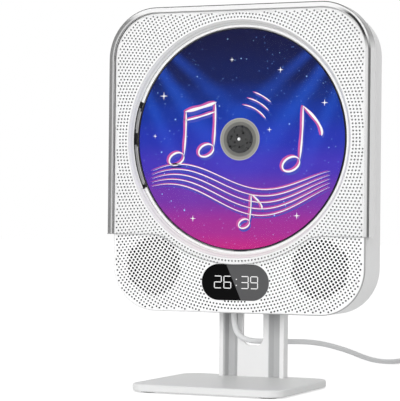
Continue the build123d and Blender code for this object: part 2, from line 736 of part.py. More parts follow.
# ---------------------------------------------------------------- disc and turntable
with BuildPart() as compact_disc:
    with BuildSketch(seen(DISC_Y + DISC_THICK)):
        Circle(DISC_RADIUS)
        Circle(DISC_HOLE, mode=Mode.SUBTRACT)
    extrude(amount=DISC_THICK)
    with BuildSketch(seen(DISC_Y + DISC_THICK + STACK_HIGH)):
        Circle(STACK_RING + STACK_WIDE / 2)
        Circle(STACK_RING - STACK_WIDE / 2, mode=Mode.SUBTRACT)
    extrude(amount=STACK_HIGH)
save(compact_disc, "compact_disc")

with BuildPart() as turntable:
    with BuildSketch(seen(TABLE_BACK)):
        Circle(TABLE_RADIUS)
    extrude(amount=TABLE_BACK - TABLE_FRONT)
    with BuildSketch(seen(TABLE_FRONT)):
        Circle(HUB_RADIUS)
    extrude(amount=TABLE_FRONT - HUB_FRONT)
    chamfer(turntable.faces().sort_by(Axis.Y)[0].edges(), HUB_EDGE)
    # three spring claws, freed by a groove on each side
    with BuildSketch(seen(TABLE_FRONT)):
        with PolarLocations(HUB_RADIUS, 3, start_angle=90):
            with Locations((0, CLAW_WIDTH / 2 + CLAW_GROOVE / 2), (0, -CLAW_WIDTH / 2 - CLAW_GROOVE / 2)):
                Rectangle(CLAW_WIDTH, CLAW_GROOVE)
    extrude(amount=TABLE_FRONT - HUB_FRONT, mode=Mode.SUBTRACT)
    with BuildSketch(seen(HUB_FRONT)):
        with PolarLocations(HUB_HOLE_RING, 6):
            Circle(HUB_HOLE)
        Circle(DIMPLE)
    extrude(amount=-CLAW_DEPTH, mode=Mode.SUBTRACT)
    with BuildSketch(seen(TABLE_BACK)):
        Circle(SPINDLE_RADIUS)
    extrude(amount=TABLE_BACK - SPINDLE_TIP, mode=Mode.SUBTRACT)
save(turntable, "turntable")

with BuildPart() as turntable_pad:
    with BuildSketch(seen(TABLE_FRONT)):
        Circle(TABLE_RADIUS - MAT_INSET)
        Circle(TABLE_RADIUS - MAT_INSET - MAT_WIDE, mode=Mode.SUBTRACT)
    extrude(amount=TABLE_FRONT - DISC_Y - DISC_THICK)
save(turntable_pad, "turntable_pad")

with BuildPart() as motor_shaft:
    with BuildSketch(seen(SPINDLE_END)):
        Circle(SPINDLE_RADIUS)
    extrude(amount=SPINDLE_END - SPINDLE_TIP)
save(motor_shaft, "motor_shaft")

with BuildPart() as spindle_motor:
    with BuildSketch(seen(MOTOR_BACK)):
        Circle(MOTOR_RADIUS)
    extrude(amount=MOTOR_BACK - MOTOR_FRONT)
    chamfer(spindle_motor.edges().filter_by(GeomType.CIRCLE), MOTOR_EDGE)
    with BuildSketch(seen(MOTOR_FRONT)):
        Circle(MOTOR_BOSS)
    extrude(amount=CHASSIS_THICK)
    with BuildSketch(seen(SPINDLE_END)):
        Circle(SPINDLE_RADIUS + SPINDLE_GAP)
    extrude(amount=REACH, mode=Mode.SUBTRACT)
save(spindle_motor, "spindle_motor")

# ---------------------------------------------------------------- pickup mechanism
with BuildPart() as mech_chassis:
    with BuildSketch(seen(MOTOR_FRONT)):
        with Locations((0, (CHASSIS_TOP - CHASSIS_BOTTOM) / 2)):
            RectangleRounded(2 * CHASSIS_HALF, CHASSIS_TOP + CHASSIS_BOTTOM, CHASSIS_CORNER)
        with Locations((0, CHASSIS_ARM_TOP)):
            Rectangle(
                CHASSIS_ARM_X, CHASSIS_ARM_BOTTOM - CHASSIS_ARM_TOP, align=(Align.MIN, Align.MAX)
            )
        Circle(MOTOR_BOSS + SPINDLE_GAP, mode=Mode.SUBTRACT)
        with Locations((0, -WINDOW_TOP_DROP)):
            Rectangle(
                SLOT_WIDTH,
                WINDOW_END_DROP - WINDOW_TOP_DROP,
                align=(Align.CENTER, Align.MAX),
                mode=Mode.SUBTRACT,
            )
        with Locations(*DAMPER_SPOTS):
            Circle(DAMPER_WAIST + SPINDLE_GAP, mode=Mode.SUBTRACT)
    extrude(amount=CHASSIS_THICK)
    # lugs that hold the two rods
    lugs = [(-ROD_TOP, LUG_TALL), (LUG_BOTTOM_TALL - ROD_BOTTOM, LUG_BOTTOM_TALL)]
    for top, tall in lugs:
        with BuildSketch(level(AXIS_Z + top)):
            with Locations(*[(side * ROD_X, MOTOR_FRONT) for side in (-1, 1)]):
                Rectangle(2 * LUG_HALF, LUG_BACK - MOTOR_FRONT, align=(Align.CENTER, Align.MIN))
        extrude(amount=-tall)
    with BuildSketch(level(AXIS_Z - ROD_TOP)):
        with Locations(*[(side * ROD_X, ROD_Y) for side in (-1, 1)]):
            Circle(ROD_RADIUS)
    extrude(amount=ROD_TOP - ROD_BOTTOM, mode=Mode.SUBTRACT)
save(mech_chassis, "mech_chassis")

with BuildPart() as damper_bushes:
    with BuildSketch(seen(DAMPER_BACK)):
        with Locations(*DAMPER_SPOTS):
            Circle(DAMPER_RADIUS)
    extrude(amount=DAMPER_BACK - DECK_BACK)
    with BuildSketch(seen(MOTOR_FRONT)):
        with Locations(*DAMPER_SPOTS):
            Circle(2 * DAMPER_RADIUS)
            Circle(DAMPER_WAIST, mode=Mode.SUBTRACT)
    extrude(amount=CHASSIS_THICK, mode=Mode.SUBTRACT)
    with BuildSketch(seen(DAMPER_BACK)):
        with Locations(*DAMPER_SPOTS):
            Circle(DAMPER_BORE)
    extrude(amount=DAMPER_BACK - DECK_BACK, mode=Mode.SUBTRACT)
save(damper_bushes, "damper_bushes")

with BuildPart() as damper_screws:
    with BuildSketch(seen(DAMPER_BACK)):
        with Locations(*DAMPER_SPOTS):
            Circle(DAMPER_BORE - SCREW_GAP)
    extrude(amount=DAMPER_BACK - DECK_BACK)
    with BuildSketch(seen(DECK_BACK)):
        with Locations(*DAMPER_SPOTS):
            Circle(SMALL_SCREW)
    extrude(amount=DAMPER_BITE)
    with BuildSketch(seen(DAMPER_BACK + SMALL_HEAD)):
        with Locations(*DAMPER_SPOTS):
            Circle(DAMPER_WAIST)
    extrude(amount=SMALL_HEAD)
save(damper_screws, "damper_screws")

for name, side in {"main": -1, "sub": 1}.items():
    with BuildPart() as guide_rod:
        with BuildSketch(level(AXIS_Z - ROD_BOTTOM)):
            with Locations((side * ROD_X, ROD_Y)):
                Circle(ROD_RADIUS)
        extrude(amount=ROD_BOTTOM - ROD_TOP)
    save(guide_rod, f"guide_rod_{name}")

with BuildPart() as pickup_sled:
    with BuildSketch(seen(SLED_BACK)):
        with Locations(((SLED_RIGHT - SLED_LEFT) / 2, -SLED_DROP)):
            RectangleRounded(SLED_LEFT + SLED_RIGHT, 2 * SLED_HALF_TALL, SLED_CORNER)
    extrude(amount=SLED_BACK - SLED_FRONT)
    with BuildSketch(seen(SLED_FRONT)):
        with Locations((0, -SLED_DROP)):
            RectangleRounded(2 * TURRET_HALF, 2 * TURRET_HALF, SLED_CORNER)
    extrude(amount=SLED_FRONT - TURRET_FRONT)
    with BuildSketch(level(AXIS_Z - SLED_DROP + SLED_HALF_TALL)):
        with Locations(*[(side * ROD_X, ROD_Y) for side in (-1, 1)]):
            Circle(ROD_RADIUS + ROD_GAP)
    extrude(amount=-2 * SLED_HALF_TALL, mode=Mode.SUBTRACT)
save(pickup_sled, "pickup_sled")

with BuildPart() as lens_holder:
    with BuildSketch(seen(HOLDER_BACK)):
        with Locations((0, -SLED_DROP)):
            RectangleRounded(2 * HOLDER_HALF, 2 * HOLDER_HALF, SLED_CORNER / 2)
            Circle(LENS_RADIUS, mode=Mode.SUBTRACT)
    extrude(amount=HOLDER_BACK - HOLDER_FRONT)
save(lens_holder, "lens_holder")

with BuildPart() as lens:
    with BuildSketch(seen(HOLDER_BACK)):
        with Locations((0, -SLED_DROP)):
            Circle(LENS_RADIUS)
    extrude(amount=HOLDER_BACK - LENS_FRONT)
    chamfer(lens.faces().sort_by(Axis.Y)[0].edges(), LENS_EDGE)
save(lens, "lens")

# ---------------------------------------------------------------- pickup drive
with BuildPart() as pickup_rack:
    with BuildSketch(seen(GEAR_BACK)):
        with Locations((RACK_LINE - DEDENDUM, RACK_TOP)):
            Rectangle(
                RACK_LINE - DEDENDUM - SLED_RIGHT,
                RACK_TOP + RACK_BOTTOM,
                align=(Align.MAX, Align.MAX),
            )
        half = [MODULE * pi * s / 2 for s in (TOOTH_ROOT_SHARE, TOOTH_PITCH_SHARE, TOOTH_TIP_SHARE)]
        reach = [-DEDENDUM - TOOTH_SINK, 0, ADDENDUM]
        tooth = [(x, -w) for x, w in zip(reach, half)] + [(x, w) for x, w in zip(reach, half)][::-1]
        pitch = MODULE * pi
        above = int((RACK_TOP + IDLER_DROP) / pitch)
        below = int((RACK_BOTTOM - IDLER_DROP) / pitch)
        spots = [(RACK_LINE, -IDLER_DROP + pitch * n) for n in range(-below, above)]
        with Locations(*spots):
            Polygon(*tooth, align=None)
    extrude(amount=GEAR_BACK - GEAR_FRONT)
save(pickup_rack, "pickup_rack")

with BuildPart() as idler_gear:
    with BuildSketch(seen(GEAR_BACK)) as wheel:
        with Locations((IDLER_X, -IDLER_DROP)):
            with Locations((0, 0)):
                gear_teeth(IDLER_TEETH, 180 / IDLER_TEETH)
            Circle(GEAR_BORE, mode=Mode.SUBTRACT)
    extrude(amount=GEAR_BACK - GEAR_FRONT)
save(idler_gear, "idler_gear")

with BuildPart() as motor_pinion:
    with BuildSketch(seen(GEAR_BACK)):
        with Locations((IDLER_X, -PINION_DROP)):
            gear_teeth(PINION_TEETH, 180 / PINION_TEETH)
    extrude(amount=GEAR_BACK - GEAR_FRONT)
    with BuildSketch(seen(SLED_SHAFT_END)):
        with Locations((IDLER_X, -PINION_DROP)):
            Circle(AXLE_RADIUS)
    extrude(amount=SLED_SHAFT_END - GEAR_BACK)
save(motor_pinion, "motor_pinion")

with BuildPart() as idler_axle:
    with BuildSketch(seen(BRACKET_FRONT + BRACKET_THICK)):
        with Locations((IDLER_X, -IDLER_DROP)):
            Circle(AXLE_RADIUS)
    extrude(amount=BRACKET_FRONT + BRACKET_THICK - MOTOR_FRONT)
save(idler_axle, "idler_axle")

with BuildPart() as drive_bracket:
    with BuildSketch(seen(BRACKET_FRONT + BRACKET_THICK)):
        with Locations((BRACKET_LEFT, -BRACKET_TOP)):
            Rectangle(
                CHASSIS_ARM_X - BRACKET_LEFT,
                BRACKET_BOTTOM - BRACKET_TOP,
                align=(Align.MIN, Align.MAX),
            )
        with Locations((IDLER_X, -IDLER_DROP)):
            Circle(AXLE_RADIUS, mode=Mode.SUBTRACT)
        with Locations((IDLER_X, -PINION_DROP)):
            Circle(2 * AXLE_RADIUS, mode=Mode.SUBTRACT)
    extrude(amount=BRACKET_THICK)
    with BuildSketch(seen(BRACKET_FRONT)):
        with Locations(*BRACKET_POSTS):
            Circle(POST_RADIUS)
    extrude(amount=BRACKET_FRONT - MOTOR_FRONT)
save(drive_bracket, "drive_bracket")

with BuildPart() as sled_motor:
    with BuildSketch(seen(SLED_MOTOR_BACK)):
        with Locations((IDLER_X, -PINION_DROP)):
            Circle(SLED_MOTOR_RADIUS)
    extrude(amount=SLED_MOTOR_BACK - BRACKET_FRONT - BRACKET_THICK)
    with BuildSketch(seen(SLED_SHAFT_END)):
        with Locations((IDLER_X, -PINION_DROP)):
            Circle(AXLE_RADIUS + SPINDLE_GAP)
    extrude(amount=REACH, mode=Mode.SUBTRACT)
save(sled_motor, "sled_motor")

# ---------------------------------------------------------------- circuit boards
with BuildPart() as main_board:
    with BuildSketch(seen(BOARD_BACK)):
        with Locations((0, BOARD_LOW)):
            Rectangle(2 * BOARD_HALF, BOARD_HIGH - BOARD_LOW, align=(Align.CENTER, Align.MIN))
        with Locations(*BOARD_SPOTS):
            Circle(SMALL_SCREW + SCREW_GAP, mode=Mode.SUBTRACT)
    extrude(amount=BOARD_BACK - BOARD_FRONT)
save(main_board, "main_board")

with BuildPart() as board_chips:
    for x, z, wide, tall, thick in CHIPS:
        with BuildSketch(seen(BOARD_FRONT)):
            with Locations((x, z)):
                Rectangle(wide, tall)
        extrude(amount=thick)
    with BuildSketch(seen(BOARD_FRONT)):
        with Locations(*CANS):
            Circle(CAN_RADIUS)
    extrude(amount=CAN_TALL)
save(board_chips, "board_chips")

with BuildPart() as board_screws:
    with BuildSketch(seen(BOARD_FRONT)):
        with Locations(*BOARD_SPOTS):
            Circle(2 * SMALL_SCREW)
    extrude(amount=SMALL_HEAD)
    with BuildSketch(seen(BOARD_FRONT)):
        with Locations(*BOARD_SPOTS):
            Circle(SMALL_SCREW)
    extrude(amount=-SMALL_LENGTH)
save(board_screws, "board_screws")

with BuildPart() as key_board:
    with BuildSketch(level(AXIS_Z + KEY_BOARD_TOP)):
        with Locations((0, BUTTON_Y)):
            Rectangle(2 * KEY_BOARD_HALF, KEY_BOARD_DEPTH)
    extrude(amount=-KEY_BOARD_THICK)
save(key_board, "key_board")

with BuildPart() as key_switches:
    with BuildSketch(level(AXIS_Z + KEY_BOARD_TOP)):
        with Locations(*[(x, BUTTON_Y) for x in BUTTON_XS.values()]):
            Rectangle(KEY_SWITCH, KEY_SWITCH)
    extrude(amount=KEY_SWITCH_TALL)
save(key_switches, "key_switches")

for name, x in BUTTON_XS.items():
    with BuildPart() as button:
        with BuildSketch(level(AXIS_Z + BUTTON_FOOT)):
            with Locations((x, BUTTON_Y)):
                SlotOverall(BUTTON_LENGTH, BUTTON_WIDTH)
        extrude(amount=BODY_TOP + BUTTON_PROUD - BUTTON_FOOT)
        chamfer(button.faces().sort_by(Axis.Z)[-1].edges(), BUTTON_EDGE)
        with BuildSketch(level(AXIS_Z + BUTTON_FOOT)):
            with Locations((x, BUTTON_Y)):
                SlotOverall(BUTTON_LENGTH + 2 * BUTTON_RIM, BUTTON_WIDTH + 2 * BUTTON_RIM)
        extrude(amount=BUTTON_RIM)
    save(button, f"button_{name}")

# ---------------------------------------------------------------- side controls
with BuildPart() as headphone_jack:
    with BuildSketch(side_wall(JACK_Z)):
        with Locations((-CONTROL_Y, 0)):
            Circle(JACK_NOSE)
    extrude(amount=-WALL)
    with BuildSketch(side_wall(JACK_Z).offset(-WALL)):
        with Locations((-CONTROL_Y, 0)):
            Rectangle(2 * JACK_HALF, 2 * JACK_HALF)
    extrude(amount=WALL - JACK_LENGTH - JACK_BACK_WALL)
    with BuildSketch(side_wall(JACK_Z)):
        with Locations((-CONTROL_Y, 0)):
            Circle(JACK_RADIUS)
    extrude(amount=-JACK_LENGTH, mode=Mode.SUBTRACT)
save(headphone_jack, "headphone_jack")

with BuildPart() as power_switch:
    with BuildSketch(side_wall(SWITCH_Z).offset(-WALL)):
        with Locations((-CONTROL_Y, 0)):
            Rectangle(SWITCH_BODY_WIDE, 2 * SWITCH_BODY_HALF)
    extrude(amount=-SWITCH_BODY_DEEP)
save(power_switch, "power_switch")

with BuildPart() as switch_knob:
    with BuildSketch(side_wall(SWITCH_Z).offset(-WALL)):
        with Locations((-CONTROL_Y, -SWITCH_TRAVEL / 2)):
            Rectangle(SWITCH_WIDTH, SWITCH_KNOB)
    extrude(amount=WALL + SWITCH_PROUD)
    # grooves across its outer face
    with BuildSketch(side_wall(SWITCH_Z).offset(SWITCH_PROUD)):
        with Locations((-CONTROL_Y, -SWITCH_TRAVEL / 2)):
            with GridLocations(0, RIDGE_STEP, 1, 3):
                Rectangle(SWITCH_WIDTH, RIDGE_WIDE)
    extrude(amount=-RIDGE_DEEP, mode=Mode.SUBTRACT)
save(switch_knob, "switch_knob")

# ---------------------------------------------------------------- power socket and plug
with BuildPart() as dc_socket:
    with BuildSketch(level(AXIS_Z + POCKET_CEILING)):
        with Locations((POCKET_X, POCKET_Y)):
            Rectangle(
                2 * SOCKET_HALF,
                RECESS_FLOOR - SOCKET_BACK_GAP - POCKET_Y,
                align=(Align.CENTER, Align.MIN),
            )
    extrude(amount=-SOCKET_TALL)
    with BuildSketch(level(AXIS_Z + POCKET_CEILING - SOCKET_TALL)):
        with Locations((POCKET_X, PLUG_Y)):
            Circle(PLUG_BARREL + SPINDLE_GAP)
    extrude(amount=PLUG_BARREL_LENGTH, mode=Mode.SUBTRACT)
save(dc_socket, "dc_socket")

with BuildPart() as dc_plug:
    with BuildSketch(level(AXIS_Z + POCKET_CEILING - SOCKET_TALL)):
        with Locations((POCKET_X, PLUG_Y)):
            Circle(PLUG_BARREL)
    extrude(amount=PLUG_BARREL_LENGTH)
    with BuildSketch(level(AXIS_Z + POCKET_CEILING - SOCKET_TALL)):
        with Locations((POCKET_X, PLUG_Y)):
            Circle(PLUG_RADIUS)
    extrude(amount=-PLUG_TALL)
    chamfer(dc_plug.faces().sort_by(Axis.Z)[0].edges(), PLUG_EDGE)
save(dc_plug, "dc_plug")

with BuildPart() as strain_relief:
    relief_top = AXIS_Z + POCKET_CEILING - SOCKET_TALL - PLUG_TALL
    relief_drop = CORD_ROUTE[0][2] - relief_top
    with BuildSketch(Plane.XZ.offset(-FACE_Y - PLUG_Y)):
        with Locations((POCKET_X, relief_top)):
            Polygon((0, 0), (RELIEF_TOP, 0), (RELIEF_TIP, relief_drop), (0, relief_drop), align=None)
    revolve(axis=Axis((POCKET_X, FACE_Y + PLUG_Y, 0), (0, 0, 1)))
save(strain_relief, "strain_relief")

# ---------------------------------------------------------------- display
with BuildPart() as display_window:
    with BuildSketch(seen(WALL)):
        with Locations((0, -DISPLAY_DROP)):
            SlotOverall(DISPLAY_LENGTH, DISPLAY_HEIGHT)
    extrude(amount=WALL - DISPLAY_SINK)
    with BuildSketch(seen(WALL + DISPLAY_FLANGE)):
        with Locations((0, -DISPLAY_DROP)):
            SlotOverall(DISPLAY_LENGTH + 2 * DISPLAY_FLANGE, DISPLAY_HEIGHT + 2 * DISPLAY_FLANGE)
    extrude(amount=DISPLAY_FLANGE)
save(display_window, "display_window")

with BuildPart() as display_module:
    with BuildSketch(seen(WALL + DISPLAY_FLANGE + MODULE_DEPTH)):
        with Locations((0, -DISPLAY_DROP)):
            Rectangle(MODULE_WIDTH, MODULE_HEIGHT)
    extrude(amount=MODULE_DEPTH)
save(display_module, "display_module")

# ---------------------------------------------------------------- speakers
for name, side in {"left": -1, "right": 1}.items():
    with BuildPart() as speaker_frame:
        with BuildSketch(through(side * SPEAKER_X, -SPEAKER_DROP)):
            Polygon(
                (SPEAKER_RADIUS, WALL),
                (SPEAKER_RADIUS, WALL + SPEAKER_FLANGE),
                (BASKET_RADIUS, BASKET_BACK),
                (MAGNET_RADIUS, BASKET_BACK),
                (MAGNET_RADIUS, MAGNET_BACK),
                (0, MAGNET_BACK),
                (0, CONE_DEPTH + 2 * CONE_WALL),
                (SPEAKER_HOLLOW, CONE_DEPTH + 2 * CONE_WALL),
                (CONE_RADIUS + CONE_WALL, CONE_FRONT + CONE_WALL),
                (CONE_RADIUS + CONE_WALL, WALL),
                align=None,
            )
        revolve(axis=axis_through(side * SPEAKER_X, -SPEAKER_DROP))
    save(speaker_frame, f"speaker_frame_{name}")

    with BuildPart() as speaker_cone:
        with BuildSketch(through(side * SPEAKER_X, -SPEAKER_DROP)):
            Polygon(
                (CONE_RADIUS + CONE_WALL, CONE_FRONT),
                (CONE_RADIUS + CONE_WALL, CONE_FRONT + CONE_WALL),
                (CAP_RADIUS, CONE_DEPTH),
                (0, CONE_DEPTH),
                (0, CONE_DEPTH - 3 * CONE_WALL),
                (CAP_RADIUS, CONE_DEPTH - CONE_WALL),
                align=None,
            )
        revolve(axis=axis_through(side * SPEAKER_X, -SPEAKER_DROP))
    save(speaker_cone, f"speaker_cone_{name}")

# ---------------------------------------------------------------- stand
with BuildPart() as stand_base:
    with BuildSketch(Plane.XY.offset(PAD_HEIGHT)):
        RectangleRounded(BASE_WIDTH, BASE_DEPTH, BASE_CORNER)
    extrude(amount=BASE_THICK)
    fillet(stand_base.faces().sort_by(Axis.Z)[-1].edges(), BASE_EDGE)
    chamfer(stand_base.faces().sort_by(Axis.Z)[0].edges(), BASE_LOWER_EDGE)
    with BuildSketch(level(PAD_HEIGHT)):
        with Locations(*[(side * BASE_SCREW_X, FOOT_MIDDLE) for side in (-1, 1)]):
            Circle(STAND_SCREW + SCREW_GAP)
    extrude(amount=BASE_THICK, mode=Mode.SUBTRACT)
    with BuildSketch(level(PAD_HEIGHT)):
        with Locations(*[(side * BASE_SCREW_X, FOOT_MIDDLE) for side in (-1, 1)]):
            Circle(STAND_HEAD + SCREW_GAP)
    extrude(amount=BASE_SCREW_SINK, mode=Mode.SUBTRACT)
save(stand_base, "stand_base")

with BuildPart() as base_pads:
    with BuildSketch(Plane.XY):
        with GridLocations(2 * PAD_X, 2 * PAD_Y, 2, 2):
            Circle(PAD_RADIUS)
    extrude(amount=PAD_HEIGHT)
save(base_pads, "base_pads")

with BuildPart() as base_screws:
    with BuildSketch(level(PAD_HEIGHT + BASE_SCREW_SINK)):
        with Locations(*[(side * BASE_SCREW_X, FOOT_MIDDLE) for side in (-1, 1)]):
            Circle(STAND_SCREW)
    extrude(amount=BASE_SCREW_LENGTH)
    with BuildSketch(level(PAD_HEIGHT + BASE_SCREW_SINK)):
        with Locations(*[(side * BASE_SCREW_X, FOOT_MIDDLE) for side in (-1, 1)]):
            Circle(STAND_HEAD)
    extrude(amount=-STAND_HEAD_THICK)
save(base_screws, "base_screws")

with BuildPart() as stand_column:
    column_tall = AXIS_Z + COLUMN_TOP - BASE_TOP
    lip_inner = COLUMN_WIDTH / 2 - LIP_FLAT
    groove_floor = COLUMN_FRONT + GROOVE_DEPTH
    # half of the sheet's section, and its mirror image
    with BuildSketch(level(BASE_TOP)):
        Polygon(
            (0, RIB_FRONT),
            (RIB_HALF, RIB_FRONT),
            (RIB_HALF + RIB_SLOPE, groove_floor),
            (lip_inner - GROOVE_SLOPE, groove_floor),
            (lip_inner, COLUMN_FRONT),
            (COLUMN_WIDTH / 2, COLUMN_FRONT),
            (COLUMN_WIDTH / 2, COLUMN_BACK),
            (RIB_HALF, COLUMN_BACK),
            (RIB_HALF - COLUMN_SHEET, RIB_HOLLOW),
            (0, RIB_HOLLOW),
            align=None,
        )
        mirror(about=Plane.YZ)
    extrude(amount=column_tall)
    upper_corners = stand_column.edges().filter_by(Axis.Y).group_by(Axis.Z)[-1]
    fillet(upper_corners.group_by(Axis.X)[0] + upper_corners.group_by(Axis.X)[-1], RECESS_CORNER)
    # foot block behind the rib
    with BuildSketch(level(BASE_TOP)):
        with Locations((0, RIB_HOLLOW)):
            Rectangle(2 * FOOT_HALF, FOOT_BACK - RIB_HOLLOW, align=(Align.CENTER, Align.MIN))
    extrude(amount=FOOT_TALL)
    # window that the cord goes through
    with BuildSketch(seen(COLUMN_BACK)) as window:
        with Locations((0, WINDOW_SILL - AXIS_Z)):
            Rectangle(WINDOW_WIDTH, WINDOW_TOP - WINDOW_SILL, align=(Align.CENTER, Align.MIN))
        fillet(window.vertices(), WINDOW_ROUND)
    extrude(amount=COLUMN_BACK - COLUMN_FRONT, mode=Mode.SUBTRACT)
    # screw holes, in the rib and in the foot
    with BuildSketch(seen(COLUMN_BACK)):
        with Locations(*[(0, z) for z in STAND_SCREW_ZS]):
            Circle(STAND_SCREW + SCREW_GAP)
    extrude(amount=COLUMN_BACK - COLUMN_FRONT, mode=Mode.SUBTRACT)
    with BuildSketch(level(BASE_TOP)):
        with Locations(*[(side * BASE_SCREW_X, FOOT_MIDDLE) for side in (-1, 1)]):
            Circle(STAND_SCREW + SCREW_GAP)
    extrude(amount=BASE_SCREW_SINK + BASE_SCREW_LENGTH - BASE_THICK + SCREW_SPARE, mode=Mode.SUBTRACT)
save(stand_column, "stand_column")

with BuildPart() as stand_screws:
    with BuildSketch(seen(RIB_HOLLOW)):
        with Locations(*[(0, z) for z in STAND_SCREW_ZS]):
            Circle(STAND_SCREW)
    extrude(amount=STAND_SCREW_LENGTH)
    with BuildSketch(seen(RIB_HOLLOW + STAND_HEAD_THICK)):
        with Locations(*[(0, z) for z in STAND_SCREW_ZS]):
            Circle(STAND_HEAD)
    extrude(amount=STAND_HEAD_THICK)
save(stand_screws, "stand_screws")

# ---------------------------------------------------------------- power cord
radii = corner_radii(CORD_ROUTE)
print("cord radii", [round(radius, 1) for radius in radii])
with BuildPart() as power_cord:
    with BuildLine() as route:
        FilletPolyline(*CORD_ROUTE, radius=radii)
    with BuildSketch(Plane(origin=route.line @ 0, z_dir=route.line % 0)):
        Circle(CORD_RADIUS)
    sweep()
save(power_cord, "power_cord")
print("cord length", round(route.wires()[0].length, 1))
print("cord volume over section", round(power_cord.part.volume / (pi * CORD_RADIUS**2), 1))

with BuildPart() as cord_coil:
    with BuildSketch(Plane.XZ.offset(-COIL_MIDDLE[1])):
        with Locations((COIL_MIDDLE[0] + COIL_RADIUS, COIL_TALL / 2)):
            Rectangle(COIL_WIDE, COIL_TALL)
    revolve(axis=Axis((*COIL_MIDDLE, 0), (0, 0, 1)))
    chamfer(cord_coil.edges().filter_by(GeomType.CIRCLE), COIL_EDGE)
save(cord_coil, "cord_coil")

with BuildPart() as cord_tie:
    across = (cos(radians(TIE_ANGLE)), sin(radians(TIE_ANGLE)), 0)
    along = (-sin(radians(TIE_ANGLE)), cos(radians(TIE_ANGLE)), 0)
    start = Vector(*COIL_MIDDLE, 0) + Vector(*across) * COIL_RADIUS - Vector(*along) * TIE_WIDE / 2
    with BuildSketch(Plane(origin=start, x_dir=across, z_dir=along)):
        hoop = COIL_WIDE + 2 * TIE_GAP
        crown = COIL_TALL + TIE_GAP
        side = 1 if along[0] * across[1] - along[1] * across[0] > 0 else -1
        Rectangle(hoop + 2 * TIE_THICK, 2 * (crown + TIE_THICK))
        Rectangle(hoop, 2 * crown, mode=Mode.SUBTRACT)
        upper = (Align.CENTER, Align.MIN) if side > 0 else (Align.CENTER, Align.MAX)
        Rectangle(REACH, REACH, align=upper, mode=Mode.INTERSECT)
    extrude(amount=TIE_WIDE)
save(cord_tie, "cord_tie")

with BuildPart() as usb_plug:
    front = USB_REAR - USB_RELIEF
    with BuildSketch(Plane.XZ.offset(-front)):
        with Locations((USB_X, USB_TALL / 2)):
            RectangleRounded(USB_WIDTH, USB_TALL, USB_EDGE)
    extrude(amount=USB_LENGTH)
    with BuildSketch(Plane.XZ.offset(-USB_REAR)):
        with Locations((USB_X, USB_TALL / 2)):
            Circle(USB_RELIEF_RADIUS)
    extrude(amount=USB_RELIEF)
    with BuildSketch(Plane.XZ.offset(USB_LENGTH - front)):
        with Locations((USB_X, USB_TALL / 2)):
            Rectangle(SHELL_WIDTH, SHELL_TALL)
            Rectangle(SHELL_WIDTH - 2 * SHELL_WALL, SHELL_TALL - 2 * SHELL_WALL, mode=Mode.SUBTRACT)
    extrude(amount=SHELL_LENGTH)
save(usb_plug, "usb_plug")
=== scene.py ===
# %% [markdown]
# # A wall or desk CD player
# The shapes that carry load or move come from the CAD model. This script adds
# what the eye wants: the tiny holes in the shell, the picture on the disc, the
# lit digits, the clear hood, the flexible lead, and the light.
#
# Three lengths come back all the time, in metres: the height of the disc's
# axis above the table, and how far back the player's front face and the disc's
# label lie.

# %% Load the frame
from math import atan2, cos, degrees, hypot, pi, radians, sin, sqrt

import bmesh
import bpy
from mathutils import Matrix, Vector


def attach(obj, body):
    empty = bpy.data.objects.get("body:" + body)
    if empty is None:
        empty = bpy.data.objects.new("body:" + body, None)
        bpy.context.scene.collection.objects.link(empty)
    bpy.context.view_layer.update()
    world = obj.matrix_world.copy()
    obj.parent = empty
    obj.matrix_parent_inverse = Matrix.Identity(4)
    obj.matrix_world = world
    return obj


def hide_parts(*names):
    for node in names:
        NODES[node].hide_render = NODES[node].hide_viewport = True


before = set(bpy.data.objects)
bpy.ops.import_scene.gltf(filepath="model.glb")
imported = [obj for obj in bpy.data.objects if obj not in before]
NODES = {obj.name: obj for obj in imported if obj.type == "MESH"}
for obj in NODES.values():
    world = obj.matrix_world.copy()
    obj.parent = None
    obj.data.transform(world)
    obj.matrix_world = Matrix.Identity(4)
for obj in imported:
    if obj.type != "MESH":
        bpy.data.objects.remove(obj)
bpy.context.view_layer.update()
AXIS_Z = 0.1342
FACE = 0.0045
DISC_FACE = FACE + 0.0047

# %% [markdown]
# ## The camera
# A long lens from the front right, a little below the middle of the player, so
# that verticals stay upright and the right side wall shows as a thin band. The
# camera leans to one side by a little more than half a degree.

# %% Camera
camera_data = bpy.data.cameras.new("camera")
camera = bpy.data.objects.new("camera", camera_data)
bpy.context.scene.collection.objects.link(camera)
camera.location = (0.35682, -0.89274, 0.08975)
camera.rotation_euler = (radians(90.66004), radians(-0.62996), radians(22.82274))
camera_data.sensor_fit = "HORIZONTAL"
camera_data.sensor_width = 36.0
camera_data.lens = 162.0
camera_data.clip_start = 0.01
camera_data.dof.use_dof = False
bpy.context.scene.camera = camera
print("camera", round(camera.location.length, 2), "m away, lens", camera_data.lens, "mm")

# %% [markdown]
# ## Node helpers
# A finish is a small tree of nodes joined by links. In the editor each node is
# placed and wired by hand. Here one call makes a node, sets its inputs and links
# it, so a finish further down reads like a recipe.


# %% Node helpers
def new_material(name):
    """An empty node tree with its output, and the material that holds it."""
    material = bpy.data.materials.new(name)
    material.use_nodes = True
    tree = material.node_tree
    tree.nodes.clear()
    return material, tree, tree.nodes.new("ShaderNodeOutputMaterial")


def feed(tree, socket, value):
    """Link a socket to an input, or write a plain value into it."""
    if isinstance(value, bpy.types.NodeSocket):
        tree.links.new(value, socket)
    else:
        socket.default_value = value


def add(tree, kind, sockets):
    """A node of a kind, with its inputs given by name."""
    node = tree.nodes.new(kind)
    for key, value in sockets.items():
        feed(tree, node.inputs[key], value)
    return node


def maths(tree, operation, first, second=0.0, third=0.0, clamp=False):
    """One Math node, with numbers or sockets as its inputs."""
    node = tree.nodes.new("ShaderNodeMath")
    node.operation = operation
    node.use_clamp = clamp
    for index, value in enumerate((first, second, third)):
        feed(tree, node.inputs[index], value)
    return node.outputs[0]


